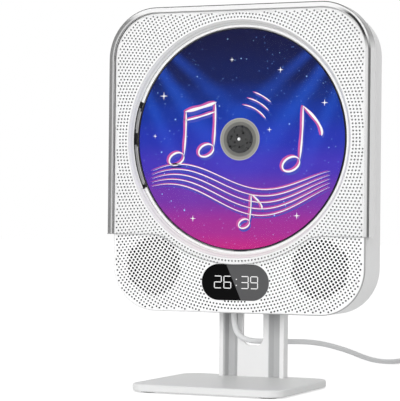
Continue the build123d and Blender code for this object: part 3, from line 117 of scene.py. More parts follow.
def coat(tree, output, sockets):
    """End a tree in one Principled shader."""
    shader = add(tree, "ShaderNodeBsdfPrincipled", sockets)
    tree.links.new(shader.outputs["BSDF"], output.inputs["Surface"])


print("node helpers: new_material, feed, add, maths, coat")

# %% [markdown]
# ## Places and ramps
# Most finishes here change with the place on the object: darker near an edge,
# grey in a groove. So these helpers give the shaded point's place, measure how far
# it lies past a limit, and turn a distance into a share between 0 and 1.


# %% Place and ramp helpers
def object_place(tree):
    """The shaded point's place on its object."""
    return tree.nodes.new("ShaderNodeTexCoord").outputs["Object"]


def place_and_axes(tree):
    """That place, and its three parts by the names X, Y and Z."""
    place = object_place(tree)
    return place, add(tree, "ShaderNodeSeparateXYZ", {"Vector": place}).outputs


def excess(tree, value, limit):
    """How far a value lies above a limit, and 0 below it."""
    return maths(tree, "MAXIMUM", maths(tree, "SUBTRACT", value, limit), 0.0)


def length(tree, first, second):
    """The length of a flat vector."""
    return maths(tree, "SQRT", maths(
        tree, "ADD", maths(tree, "MULTIPLY", first, first), maths(tree, "MULTIPLY", second, second)))


def rescale(tree, value, low, high, to_low=0.0, to_high=1.0):
    """Carry low..high over to to_low..to_high in a straight line, held at both ends."""
    return add(tree, "ShaderNodeMapRange", {
        "Value": value, "From Min": low, "From Max": high,
        "To Min": to_low, "To Max": to_high}).outputs["Result"]


def ramp_down(tree, value, low, high):
    """1 below low, 0 above high, and smooth between."""
    node = add(tree, "ShaderNodeMapRange", {
        "Value": value, "From Min": low, "From Max": high, "To Min": 1.0, "To Max": 0.0})
    node.interpolation_type = "SMOOTHSTEP"
    return node.outputs["Result"]


def fine_relief(tree, place, grain, strength):
    """A grain too fine to see, as a bump that softens the highlights."""
    fine = add(tree, "ShaderNodeTexNoise", {"Vector": place, "Scale": grain, "Detail": 2.0})
    return add(tree, "ShaderNodeBump", {
        "Strength": strength, "Distance": 0.0001, "Height": fine.outputs["Fac"]}).outputs["Normal"]


print("place helpers: object_place, place_and_axes, excess, length, rescale, ramp_down, fine_relief")

# %% [markdown]
# ## Colours
# A picture file stores colours for the screen, from 0 to 255, while a shader
# counts light. `linear` turns the first into the second. The ramp helper makes a
# Color Ramp with as many stops as its list has.


# %% Colour helpers
def mix_colour(tree, factor, first, second, blend="MIX"):
    """Mix two colours by a factor; each may be a socket or an (r, g, b, 1) value."""
    node = tree.nodes.new("ShaderNodeMix")
    node.data_type = "RGBA"
    node.blend_type = blend
    for key, value in (("Factor_Float", factor), ("A_Color", first), ("B_Color", second)):
        feed(tree, next(s for s in node.inputs if s.identifier == key), value)
    return next(s for s in node.outputs if s.identifier == "Result_Color")


def linear(red, green, blue):
    """An 8-bit display colour as the linear value that a shader takes."""
    def one(value):
        share = value / 255
        return share / 12.92 if share <= 0.04045 else ((share + 0.055) / 1.055) ** 2.4
    return (one(red), one(green), one(blue), 1.0)


def colour_ramp(tree, factor, stops, interpolation="LINEAR"):
    """A Color Ramp from a list of (position, colour)."""
    node = add(tree, "ShaderNodeValToRGB", {"Fac": factor})
    node.color_ramp.interpolation = interpolation
    while len(node.color_ramp.elements) < len(stops):
        node.color_ramp.elements.new(0.5)
    for element, (position, colour) in zip(node.color_ramp.elements, stops):
        element.position = position
        element.color = colour
    return node.outputs["Color"]


print("display grey 128 is", round(linear(128, 128, 128)[0], 3), "to a shader")

# %% [markdown]
# ## Two makers of finishes
# No moulded surface is perfectly even. So in a plain finish noise in object
# coordinates moves the colour and the roughness by a few percent. Turned or drawn
# metal has lines instead: the same noise, stretched a hundredfold along the grain.


# %% Finish makers
def finish(name, colour, rough=0.4, grain=2500.0, bump=0.05, vary=0.03, patch=60.0):
    """A plain solid finish: slight blotches, uneven gloss and a fine grain."""
    material, tree, output = new_material(name)
    place = object_place(tree)
    blotch = add(tree, "ShaderNodeTexNoise", {"Vector": place, "Scale": patch, "Detail": 3.0}).outputs["Fac"]
    dark = tuple(channel * (1 - vary) for channel in colour[:3]) + (1.0,)
    coat(tree, output, {
        "Base Color": mix_colour(tree, blotch, dark, colour),
        "Roughness": rescale(tree, blotch, 0.0, 1.0, rough * 0.9, min(1.0, rough * 1.12)),
        "Normal": fine_relief(tree, place, grain, bump)})
    return material


def brushed(name, colour, rough, along="Z"):
    """Turned or drawn metal, with its grain along one axis."""
    material, tree, output = new_material(name)
    scale = {"Y": (3000, 30, 3000), "Z": (3000, 3000, 30)}[along]
    stretched = add(tree, "ShaderNodeMapping", {"Vector": object_place(tree), "Scale": scale})
    lines = add(tree, "ShaderNodeTexNoise", {
        "Vector": stretched.outputs["Vector"], "Scale": 1.0, "Detail": 4.0}).outputs["Fac"]
    relief = add(tree, "ShaderNodeBump", {"Strength": 0.15, "Distance": 0.00005, "Height": lines})
    coat(tree, output, {
        "Base Color": colour, "Metallic": 1.0,
        "Roughness": rescale(tree, lines, 0.0, 1.0, rough * 0.7, rough * 1.3),
        "Normal": relief.outputs["Normal"]})
    return material


print("finish makers: finish, brushed")

# %% [markdown]
# ## Dressing and adding pieces
# A CAD node keeps its mesh and place and only gets a material. A new piece is a
# list of points and a list of faces that name those points by number. It is told
# which body of the player it rides on, so it moves with that body.


# %% Piece helpers
def dress(material, slot_name, *names):
    """Give CAD nodes a finish."""
    for name in names:
        node = NODES[name]
        if not node.material_slots:
            node.data.materials.append(material)
        for slot in node.material_slots:
            slot.material = material


def mesh_piece(name, points, faces, material, body):
    """A new mesh piece that rides on a body."""
    mesh = bpy.data.meshes.new(name)
    mesh.from_pydata([tuple(p) for p in points], [], faces)
    mesh.materials.append(material)
    mesh.shade_smooth()
    mesh.set_sharp_from_angle(angle=radians(30))
    piece = bpy.data.objects.new(name, mesh)
    bpy.context.scene.collection.objects.link(piece)
    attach(piece, body)
    return piece


def circle(x, y, z, radius, sides):
    """The points of a circle that faces the front."""
    turns = [2 * pi * side / sides for side in range(sides)]
    return [(x + radius * cos(turn), y, z + radius * sin(turn)) for turn in turns]


print("piece helpers: dress, mesh_piece, circle")

# %% [markdown]
# ## Plain finishes
# White shell plastic with a satin texture, a slightly darker white for the
# painted base, greys and black for the hidden parts, steel, rubber and so on.
# The holes are too shallow to be dark by themselves, so three finishes stand for
# the shadow in them.

# %% Finishes
WHITE = finish("white shell plastic", (0.90, 0.90, 0.90, 1), rough=0.42, grain=3500, bump=0.04, vary=0.012)
BASE_PAINT = finish("white base paint", (0.74, 0.745, 0.74, 1), rough=0.4, grain=3000, bump=0.04, vary=0.012)
LIGHT_GREY = finish("light grey plastic", (0.56, 0.565, 0.56, 1), rough=0.45)
HUB = finish(
    "charcoal hub plastic", (0.045, 0.046, 0.046, 1), rough=0.5, grain=1800, bump=0.15, vary=0.25, patch=500)
DARK = finish("dark moulded plastic", (0.022, 0.022, 0.025, 1), rough=0.38, bump=0.06)
MID_GREY = finish("mid grey plastic", (0.20, 0.20, 0.21, 1), rough=0.5, bump=0.08)
HOLE = finish("shadowed holes", (0.045, 0.045, 0.05, 1), rough=0.9, bump=0.02)
HOLE_PALE_SHADE = finish("paler painted hole shade", (0.27, 0.27, 0.27, 1), rough=0.9, bump=0.02)
HOLE_BLACK = finish("speaker holes", (0.002, 0.002, 0.002, 1), rough=0.95, bump=0.02)
STEEL = brushed("drawn steel", (0.55, 0.56, 0.58, 1), 0.28)
CHROME = brushed("bright plated steel", (0.80, 0.80, 0.82, 1), 0.12)
MOTOR = brushed("zinc plated can", (0.62, 0.63, 0.64, 1), 0.35, "Y")
RUBBER = finish("black rubber", (0.02, 0.02, 0.021, 1), rough=0.78, grain=1200, bump=0.2)
PAD = finish("soft grey pad", (0.40, 0.40, 0.40, 1), rough=0.85, grain=1500, bump=0.3)
BOARD = finish("green board", (0.010, 0.09, 0.035, 1), rough=0.32, grain=900, bump=0.08, vary=0.35, patch=240)
PAPER = finish("black paper cone", (0.015, 0.015, 0.016, 1), rough=0.8, grain=700, bump=0.5)
LENS = finish("coated lens", (0.03, 0.05, 0.12, 1), rough=0.05, bump=0.0)
NYLON = finish("natural nylon", (0.72, 0.70, 0.62, 1), rough=0.5)
CORD = finish("white cord sheath", (0.80, 0.805, 0.81, 1), rough=0.45, grain=1800, bump=0.08, vary=0.02)
print("materials", len(bpy.data.materials))

# %% [markdown]
# Each CAD piece now gets its finish. Pieces of one material share one call. The ring, the column, the hood,
# the disc and the display get finishes of their own below.

# %% Dress the CAD pieces
dress(WHITE, "white_shell", "front_housing", "rear_cover",
      "button_previous", "button_play", "button_next", "button_quieter", "button_louder",
      "disc_deck")
dress(DARK, "dark_plastic", "notch_insert", "pickup_sled", "lens_holder", "display_module",
      "headphone_jack", "power_switch", "switch_knob", "dc_socket", "board_chips", "key_switches")
dress(BASE_PAINT, "light_grey", "stand_base")
dress(LIGHT_GREY, "light_grey", "mech_chassis")
dress(HUB, "mid_grey", "turntable")
dress(MID_GREY, "mid_grey", "speaker_frame_left", "speaker_frame_right", "drive_bracket")
dress(STEEL, "steel", "motor_shaft", "guide_rod_main", "guide_rod_sub", "idler_axle", "damper_screws")
dress(CHROME, "chrome", "case_screws", "deck_screws", "board_screws", "base_screws", "stand_screws")
dress(MOTOR, "motor_can", "spindle_motor", "sled_motor")
dress(RUBBER, "rubber", "damper_bushes", "base_pads", "turntable_pad")
dress(PAD, "soft_pad", "notch_pad_upper", "notch_pad_lower")
dress(BOARD, "board", "main_board", "key_board")
dress(PAPER, "paper_cone", "speaker_cone_left", "speaker_cone_right")
dress(LENS, "lens", "lens")
dress(NYLON, "nylon", "pickup_rack", "idler_gear", "motor_pinion")
dress(CORD, "cord", "dc_plug", "strain_relief", "cord_tie", "usb_plug", "power_cord", "cord_coil")
print("dressed", sum(1 for node in NODES.values() if node.material_slots), "nodes")

# %% [markdown]
# ## The lead's route
# The thin lead comes out of the pocket under the player, goes through the
# stand's window and down to the table. The length that isn't seen is wound into
# a flat coil: spirals that run in, out, in and out again, one on top of the other,
# joined by short climbs. All of it is in millimetres.

# %% Lead's route
CORD_RADIUS = 0.00155
ROUTE = [
    (-9.0, 25.75, 40.8), (-9.0, 25.75, 33.8), (-6.8, 27.7, 26.9), (-1.6, 31.7, 24.3),
    (3.2, 40.0, 23.7), (10.2, 54.5, 23.0), (18.4, 84.5, 21.4), (23.6, 124.5, 14.6),
    (25.8, 164.5, 6.0), (27.2, 205.5, 1.75), (28.3, 246.0, 1.55),
]
TAIL = [(69.9, 251.5, 10.6), (69.8, 247.5, 7.6), (69.6, 244.5, 4.6), (69.5, 241.0, 4.0)]
COIL_CENTRE = (49.0, 254.5)
COIL_OUT = 20.7
COIL_STEP = 3.15
COIL_LOW = 1.55
LAYERS = 4
TURNS = 3
PER_TURN = 16
CLIMB_TURNS = 1 / 6


def coil_points():
    """Flat spirals stacked on each other, in and out again, joined by short climbs."""
    points = []
    turned = 0.0
    radius = COIL_OUT
    for layer in range(LAYERS):
        inward = layer % 2 == 0
        steps = TURNS * PER_TURN
        for step in range(steps + 1):
            share = step / steps
            travel = TURNS * COIL_STEP * share
            radius = COIL_OUT - travel if inward else COIL_OUT - TURNS * COIL_STEP + travel
            points.append((turned + TURNS * share, radius, COIL_LOW + COIL_STEP * layer))
        turned += TURNS
        if layer < LAYERS - 1:
            for part in (1 / 3, 2 / 3):
                rise = part * part * (3 - 2 * part)
                points.append((turned + part * CLIMB_TURNS, radius, COIL_LOW + COIL_STEP * (layer + rise)))
            turned += CLIMB_TURNS
    return [
        (COIL_CENTRE[0] + r * cos(pi - 2 * pi * t), COIL_CENTRE[1] + r * sin(pi - 2 * pi * t), z)
        for t, r, z in points
    ]


line_points = ROUTE + coil_points() + TAIL
lead_length = sum(
    (Vector(b) - Vector(a)).length for a, b in zip(line_points, line_points[1:])) / 1000
print("lead control line", round(lead_length, 3), "m with", len(line_points), "points")

# %% [markdown]
# ## The lead
# A NURBS curve runs smoothly near its points, so few of them make a soft bend. The
# curve's bevel gives it its 3.1 mm thickness, which stays round in every bend.

# %% Lead
lead_curve = bpy.data.curves.new("power lead", "CURVE")
lead_curve.dimensions = "3D"
lead_line = lead_curve.splines.new("NURBS")
lead_line.points.add(len(line_points) - 1)
for target, point in zip(lead_line.points, line_points):
    target.co = (point[0] / 1000, point[1] / 1000, point[2] / 1000, 1.0)
lead_line.order_u = 3
lead_line.use_endpoint_u = True
lead_line.resolution_u = 6
lead_curve.bevel_depth = CORD_RADIUS
lead_curve.bevel_resolution = 4
lead_curve.use_fill_caps = True
lead_curve.materials.append(CORD)
lead = bpy.data.objects.new("power_lead", lead_curve)
bpy.context.scene.collection.objects.link(lead)
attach(lead, "player")
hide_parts("power_cord", "cord_coil")
print("lead", round(2000 * CORD_RADIUS, 2), "mm thick")

# %% [markdown]
# ## Where the holes go
# The front carries some two thousand small holes on rings about the disc's axis.
# Ring m has six times m holes, so the spacing stays even all the way out. Only
# the places on the face and clear of the display count. X and Z are measured from
# the disc's axis here.

# %% Hole places
RING = 0.001821
FIRST_RING = 36
LAST_RING = 69
PATTERN_HALF = 0.0708
PATTERN_LOW = -0.0924
PATTERN_HIGH = 0.0679
PATTERN_CORNER = 0.0235
DISPLAY_Z = -0.077
DISPLAY_STRAIGHT = 0.0096
DISPLAY_CLEAR = 0.0102


def in_pattern(x, z):
    """Whether a place lies in the pattern's rectangle with rounded corners."""
    middle = (PATTERN_LOW + PATTERN_HIGH) / 2
    tall = (PATTERN_HIGH - PATTERN_LOW) / 2
    across = max(abs(x) - (PATTERN_HALF - PATTERN_CORNER), 0.0)
    up = max(abs(z - middle) - (tall - PATTERN_CORNER), 0.0)
    return hypot(across, up) <= PATTERN_CORNER


def in_display(x, z):
    """Whether a place lies within the pill round the display, with its margin."""
    return hypot(max(abs(x) - DISPLAY_STRAIGHT, 0.0), z - DISPLAY_Z) < DISPLAY_CLEAR


holes = []
for ring in range(FIRST_RING, LAST_RING + 1):
    for count in range(6 * ring):
        angle = 2 * pi * count / (6 * ring)
        x = ring * RING * cos(angle)
        z = ring * RING * sin(angle)
        if in_pattern(x, z) and not in_display(x, z):
            holes.append((x, z))
print("holes", len(holes))

# %% [markdown]
# ## One cutter for all holes
# Each hole is a ten-sided plug. All plugs go into one mesh, so one Boolean can cut them together. The holes
# are real cuts, and their insides wear painted shade. In front of the speakers the holes are wider and
# deeper, and their insides are painted black as shade. Elsewhere they are shallow, with a dark painted shade
# inside. Behind the hood that painted shade is paler, because its sheet catches light. The plugs' material
# numbers carry over to the cut.

# %% Hole cutters
SPEAKERS = [(-0.048, -0.069), (0.048, -0.069)]
SPEAKER_REACH = 0.0158
HOLE_RADIUS = 0.0005
HOLE_DEPTH = 0.0009
LOUD_RADIUS = 0.00068
LOUD_DEPTH = 0.0018
CUT_AHEAD = 0.001
SIDES = 10
HOOD_LOW = -52.0
HOOD_ARC = 67.5
points = []
faces = []
tones = []
for x, z in holes:
    loud = any(hypot(x - sx, z - sz) < SPEAKER_REACH for sx, sz in SPEAKERS)
    hooded = z > HOOD_LOW / 1000 or hypot(x, z) < HOOD_ARC / 1000
    tones.extend([2 if loud else 1 if hooded else 0] * (SIDES + 2))
    start = len(points)
    for y in (FACE - CUT_AHEAD, FACE + (LOUD_DEPTH if loud else HOLE_DEPTH)):
        points.extend(circle(x, y, AXIS_Z + z, LOUD_RADIUS if loud else HOLE_RADIUS, SIDES))
    faces.append([start + side for side in range(SIDES)])
    faces.append([start + SIDES + side for side in reversed(range(SIDES))])
    for side in range(SIDES):
        after = (side + 1) % SIDES
        faces.append((start + after, start + side, start + SIDES + side, start + SIDES + after))
cutter_mesh = bpy.data.meshes.new("hole cutters")
cutter_mesh.from_pydata(points, [], faces)
for shade in (HOLE, HOLE_PALE_SHADE, HOLE_BLACK):
    cutter_mesh.materials.append(shade)
cutter_mesh.polygons.foreach_set("material_index", tones)
cutter = bpy.data.objects.new("hole cutters", cutter_mesh)
bpy.context.scene.collection.objects.link(cutter)
tool = bmesh.new()
tool.from_mesh(cutter_mesh)
bmesh.ops.recalc_face_normals(tool, faces=tool.faces)
tool.to_mesh(cutter_mesh)
tool.free()
print("cutter faces", len(faces))

# %% [markdown]
# ## The shell's paint and its painted shade line
# The front is the same white plastic as the back, with one thin darker line close inside its outline: painted
# shade where the edge rounds away. This painted shade is strongest down the right side and faint along the
# top and the left. Its place comes from the distance to a rounded rectangle: length(max(|p| - box, 0)) is the
# classic formula for it.

# %% Shell paint
BODY_HALF = 0.0725
BODY_TALL = 0.08145
BODY_MIDDLE = AXIS_Z - 0.01215
BODY_CORNER = 0.025
SHADE_LINE_INSET = (0.00040, 0.00055)
SHADE_LINE_DEPTH = (0.0012, 0.0014)
SHELL, tree, output = new_material("white shell with a painted edge shade")
place, at = place_and_axes(tree)
from_middle = maths(tree, "SUBTRACT", at["Z"], BODY_MIDDLE)
past_side = excess(tree, maths(tree, "ABSOLUTE", at["X"]), BODY_HALF - BODY_CORNER)
past_end = excess(tree, maths(tree, "ABSOLUTE", from_middle), BODY_TALL - BODY_CORNER)
inset = maths(tree, "SUBTRACT", BODY_CORNER, length(tree, past_side, past_end))
painted_edge_shade = maths(
    tree, "MULTIPLY", ramp_down(tree, inset, *SHADE_LINE_INSET),
    ramp_down(tree, at["Y"], *(FACE + depth for depth in SHADE_LINE_DEPTH)))
to_right = rescale(tree, at["X"], -0.03, 0.03, 0.0, 0.62)
under_top = ramp_down(tree, at["Z"], AXIS_Z + 0.040, AXIS_Z + 0.060)
shade = maths(tree, "MULTIPLY_ADD", to_right, under_top, 0.08)
coat(tree, output, {
    "Base Color": mix_colour(
        tree, maths(tree, "MULTIPLY", painted_edge_shade, shade), (0.90, 0.90, 0.90, 1), (0.16, 0.16, 0.16, 1)),
    "Roughness": 0.42, "Normal": fine_relief(tree, place, 3500.0, 0.04)})
print("shell outline", round(2000 * BODY_HALF, 1), "by", round(2000 * BODY_TALL, 1), "mm")

# %% [markdown]
# ## Cutting the front
# The Boolean works on a copy of the CAD shell. Its doubled corner points are
# merged first, because this fast solver needs a closed mesh. The result is then
# kept as a plain mesh, and the cutter goes away.

# %% Perforated front
shell_mesh = NODES["front_housing"].data.copy()
tool = bmesh.new()
tool.from_mesh(shell_mesh)
bmesh.ops.remove_doubles(tool, verts=tool.verts, dist=1e-7)
print("shell open edges", sum(1 for edge in tool.edges if not edge.is_manifold))
tool.to_mesh(shell_mesh)
tool.free()
shell_mesh.materials.clear()
shell_mesh.materials.append(SHELL)
shell = bpy.data.objects.new("perforated_front", shell_mesh)
bpy.context.scene.collection.objects.link(shell)
cut = shell.modifiers.new("holes", "BOOLEAN")
cut.operation = "DIFFERENCE"
cut.solver = "MANIFOLD"
cut.object = cutter
cut.material_mode = "TRANSFER"
bpy.context.view_layer.update()
cut_mesh = bpy.data.meshes.new_from_object(shell.evaluated_get(bpy.context.evaluated_depsgraph_get()))
shell.modifiers.clear()
shell.data = cut_mesh
bpy.data.objects.remove(cutter)
cut_mesh.shade_smooth()
cut_mesh.set_sharp_from_angle(angle=radians(25))
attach(shell, "player")
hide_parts("front_housing")
print("perforated front", len(cut_mesh.polygons), "faces,", [m.name for m in cut_mesh.materials])

# %% [markdown]
# ## Bands in the hood's rim
# Clear acrylic is nearly invisible head-on and shows at its rim, where the thick walls stand edge-on. There
# refraction and reflection make grey, white and dark lines, and here they are painted on: painted highlights
# and painted shade. The distance to the hood's rounded outline places them. A Color Ramp over that distance
# draws the bands, one for the left side, one for the right, one for the right corner and one for the top.

# %% Hood's rim
HOOD_HALF = 0.0754
HOOD_TOP = 0.0722
HOOD_CORNER = 0.0279
RIM_WIDE = 0.003
LEFT_RIM = [(0.0, 100), (0.06, 128), (0.66, 140), (0.74, 205), (1.0, 225)]
RIGHT_RIM = [(0.0, 255), (0.03, 255), (0.07, 110), (0.44, 100), (0.52, 210), (1.0, 238)]
CORNER_RIM = [
    (0.0, 120), (0.05, 140), (0.12, 246), (0.36, 246),
    (0.44, 60), (0.80, 26), (0.90, 200), (1.0, 238),
]
TOP_RIM = [(0.0, 60), (0.15, 72), (0.22, 252), (0.84, 250), (0.89, 232), (1.0, 236)]
hood, tree, output = new_material("clear acrylic with painted rim light and shade")
place, at = place_and_axes(tree)
past_side = excess(tree, maths(tree, "ABSOLUTE", at["X"]), HOOD_HALF - HOOD_CORNER)
past_top = excess(tree, at["Z"], AXIS_Z + HOOD_TOP - HOOD_CORNER)
inset = maths(tree, "SUBTRACT", HOOD_CORNER, length(tree, past_side, past_top))
rim = maths(tree, "DIVIDE", inset, RIM_WIDE, clamp=True)


def painted_rim_band(stops):
    """A ramp of painted light and shade over the rim, from the outside in."""
    return colour_ramp(tree, rim, [(position, linear(tone, tone, tone)) for position, tone in stops])


to_right = rescale(tree, at["X"], -0.03, 0.045)
round_corner = rescale(tree, past_top, 0.002, 0.010)
at_top = rescale(tree, past_top, 0.0205, 0.0245)
right_side = mix_colour(tree, round_corner, painted_rim_band(RIGHT_RIM), painted_rim_band(CORNER_RIM))
side = mix_colour(tree, to_right, painted_rim_band(LEFT_RIM), right_side)
painted_rim_light = mix_colour(tree, at_top, side, painted_rim_band(TOP_RIM))
print("rim", 1000 * RIM_WIDE, "mm wide in", len(tree.nodes), "nodes so far")

# %% [markdown]
# ## The clear hood
# Alpha makes the pane see-through and the rim nearly solid, so the rim's painted light and shade show. Light
# would need many bounces through real glass here, and the thin pane would look the same. The pane's own
# colour is dark, because what little of it shows must not veil the disc.

# %% Clear hood
PANE_SOLID = 0.02
RIM_SOLID = 0.83
on_rim = ramp_down(tree, rim, 0.93, 0.99)
cloud = add(tree, "ShaderNodeTexNoise", {"Vector": place, "Scale": 90.0, "Detail": 2.0}).outputs["Fac"]
coat(tree, output, {
    "Base Color": mix_colour(tree, on_rim, (0.10, 0.10, 0.105, 1), painted_rim_light),
    "Roughness": rescale(tree, cloud, 0.0, 1.0, 0.03, 0.09), "IOR": 1.49, "Specular IOR Level": 1.0,
    "Alpha": maths(tree, "MULTIPLY_ADD", on_rim, RIM_SOLID, PANE_SOLID)})
dress(hood, "clear_cover", "dust_cover")
print("hood", round(2000 * HOOD_HALF, 1), "mm wide")

# %% [markdown]
# ## The hood's lower edge
# The edge runs straight in from both sides, swings down in a small arc and follows the disc. A fillet circle
# of 18 mm touches the line z = -52 and the circle of 67.5 mm, so its middle is 67.5 + 18 mm from the disc's
# axis. A thin grey strip along this line is painted shade: it stands for the cut edge of the clear sheet.

# %% Hood's lower edge
HOOD_SWEEP = 18.0
SWEEP_STEPS = 12
ARC_STEPS = 30
EDGE_HALF = 0.17
EDGE_Y = FACE - 0.0019 - 0.00002
sweep_z = HOOD_LOW - HOOD_SWEEP
sweep_x = sqrt((HOOD_ARC + HOOD_SWEEP) ** 2 - sweep_z ** 2)
touch = degrees(atan2(-sweep_z, -sweep_x))
edge_line = [(HOOD_HALF * 1000, HOOD_LOW)]
for step in range(SWEEP_STEPS + 1):
    turn = radians(90 + (touch - 90) * step / SWEEP_STEPS)
    edge_line.append((sweep_x + HOOD_SWEEP * cos(turn), sweep_z + HOOD_SWEEP * sin(turn)))
for step in range(1, ARC_STEPS + 1):
    turn = radians(touch - 180 - (2 * touch - 180) * step / (2 * ARC_STEPS))
    edge_line.append((HOOD_ARC * cos(turn), HOOD_ARC * sin(turn)))
edge_line += [(-x, z) for x, z in reversed(edge_line[:-1])]
points = []
faces = []
for index, (x, z) in enumerate(edge_line):
    before = Vector(edge_line[max(0, index - 1)])
    after = Vector(edge_line[min(len(edge_line) - 1, index + 1)])
    along = (after - before).normalized()
    for half in (-EDGE_HALF, EDGE_HALF):
        points.append(((x - along.y * half) / 1000, EDGE_Y, AXIS_Z + (z + EDGE_HALF + along.x * half) / 1000))
for index in range(len(edge_line) - 1):
    first = 2 * index
    faces.append((first, first + 1, first + 3, first + 2))
EDGE_PAINTED_SHADE = finish("painted shade of the acrylic edge", (0.30, 0.30, 0.305, 1), rough=0.3, bump=0.02)
mesh_piece("hood_lower_edge", points, faces, EDGE_PAINTED_SHADE, "cover")
print("hood's lower edge", len(edge_line), "points")

# %% [markdown]
# ## The ring round the disc
# The bezel slopes down to the disc in three soft steps. Its paint follows the depth behind the front face:
# white at the rim, a grey arc half way, and pale again below. The grey arc and the grey at the foot are
# painted shade on the steps, and the pure white, whiter than the shell, is painted light on slopes that turn
# away from the lamp.

# %% Bezel
BEZEL_DEEP = 0.0034
BEZEL_LIGHT_AND_SHADE = [(0.0, 1.0), (0.30, 1.0), (0.52, 0.84), (0.62, 0.88), (0.80, 1.0), (0.96, 1.0), (1.0, 0.84)]
bezel_light_and_shade, tree, output = new_material("bezel with painted light and shade")
place, at = place_and_axes(tree)
depth = rescale(tree, at["Y"], FACE, FACE + BEZEL_DEEP)
coat(tree, output, {
    "Base Color": colour_ramp(tree, depth, [
        (position, (level, level, level * 0.97, 1.0)) for position, level in BEZEL_LIGHT_AND_SHADE]),
    "Roughness": 0.4, "Normal": fine_relief(tree, place, 2600.0, 0.05)})
dress(bezel_light_and_shade, "light_grey", "bezel_ring")
print("bezel tones", len(BEZEL_LIGHT_AND_SHADE))

# %% [markdown]
# A white lip lies beside the disc and stops at both ends of the finger notch. It
# is a square bar bent round: four points at each step, joined to the next four,
# and closed with a face at both ends.

# %% Lip beside the disc
LIP_INNER = 0.0606
LIP_OUTER = 0.06205
LIP_FRONT = FACE + 0.0046
LIP_BACK = FACE + 0.0071
LIP_CORNERS = ((LIP_INNER, LIP_BACK), (LIP_INNER, LIP_FRONT), (LIP_OUTER, LIP_FRONT), (LIP_OUTER, LIP_BACK))
NOTCH_START = 160.3
NOTCH_END = 205.4
LIP_STEPS = 180
points = []
faces = []
for step in range(LIP_STEPS + 1):
    turn = radians(NOTCH_END - 360 + (NOTCH_START + 360 - NOTCH_END) * step / LIP_STEPS)
    for reach, y in LIP_CORNERS:
        points.append((reach * cos(turn), y, AXIS_Z + reach * sin(turn)))
for step in range(LIP_STEPS):
    for corner in range(4):
        after = (corner + 1) % 4
        faces.append((4 * step + corner, 4 * step + after, 4 * step + 4 + after, 4 * step + 4 + corner))
faces.append((3, 2, 1, 0))
faces.append(tuple(4 * LIP_STEPS + corner for corner in range(4)))
mesh_piece("well_lip", points, faces, WHITE, "player")
print("lip", round(360 - (NOTCH_END - NOTCH_START), 1), "degrees round")

# %% [markdown]
# ## The stand's column
# The pressed sheet has two deep grooves. Little light reaches their floors, so the
# paint gets a soft grey there, set by how far a point lies behind the lips.

# %% Column finish
GROOVE_INSIDE = (0.0089, 0.0095)
GROOVE_OUTSIDE = (0.0163, 0.0167)
GROOVE_DEPTH = (0.0252, 0.0275)
GROOVE_SHADE = 0.75
column_paint, tree, output = new_material("column paint")
place, at = place_and_axes(tree)
from_middle = maths(tree, "ABSOLUTE", at["X"])
past_rib = maths(tree, "SUBTRACT", 1.0, ramp_down(tree, from_middle, *GROOVE_INSIDE))
in_groove = maths(tree, "MULTIPLY", past_rib, ramp_down(tree, from_middle, *GROOVE_OUTSIDE))
sunk = maths(tree, "SUBTRACT", 1.0, ramp_down(tree, at["Y"], *(FACE + depth for depth in GROOVE_DEPTH)))
shade = maths(tree, "MULTIPLY", maths(tree, "MULTIPLY", in_groove, sunk), GROOVE_SHADE)
coat(tree, output, {
    "Base Color": mix_colour(tree, shade, (0.80, 0.80, 0.80, 1), (0.36, 0.365, 0.37, 1)),
    "Roughness": 0.4, "Normal": fine_relief(tree, place, 3000.0, 0.05)})
dress(column_paint, "light_grey", "stand_column")
print("grooves", round(1000 * (GROOVE_OUTSIDE[0] - GROOVE_INSIDE[1]), 1), "mm wide at full shade")

# %% [markdown]
# ## The colours of the disc's label
# All of it is computed from the disc's own coordinates, so it turns with the
# disc. A Color Ramp runs from magenta at the bottom to night blue at the top.
# `across` and `up` go from -1 to 1 over the disc.

# %% Label's colours
DISC_RADIUS = 0.06
LABEL_RUN = [
    (0.00, linear(190, 38, 128)), (0.10, linear(160, 44, 144)), (0.24, linear(112, 50, 164)),
    (0.38, linear(66, 50, 178)), (0.50, linear(34, 48, 170)), (0.62, linear(14, 48, 152)),
    (0.70, linear(12, 40, 122)), (0.78, linear(12, 26, 84)), (0.98, linear(14, 18, 62)),
]
disc_print, tree, output = new_material("printed disc")
place, at = place_and_axes(tree)
across = maths(tree, "DIVIDE", at["X"], DISC_RADIUS)
up = maths(tree, "DIVIDE", maths(tree, "SUBTRACT", at["Z"], AXIS_Z), DISC_RADIUS)
height = maths(tree, "MULTIPLY_ADD", up, 0.5, 0.5)
ink = colour_ramp(tree, height, LABEL_RUN, "EASE")
print("label colours", len(LABEL_RUN))

# %% [markdown]
# ## Beams and specks of light
# Six soft beams shine in from two points above the disc. Each is a wedge: the
# distance to its middle line, divided by the distance along it, is the same all
# the way down. A Voronoi texture adds tiny stray specks, kept near its cells' middles.

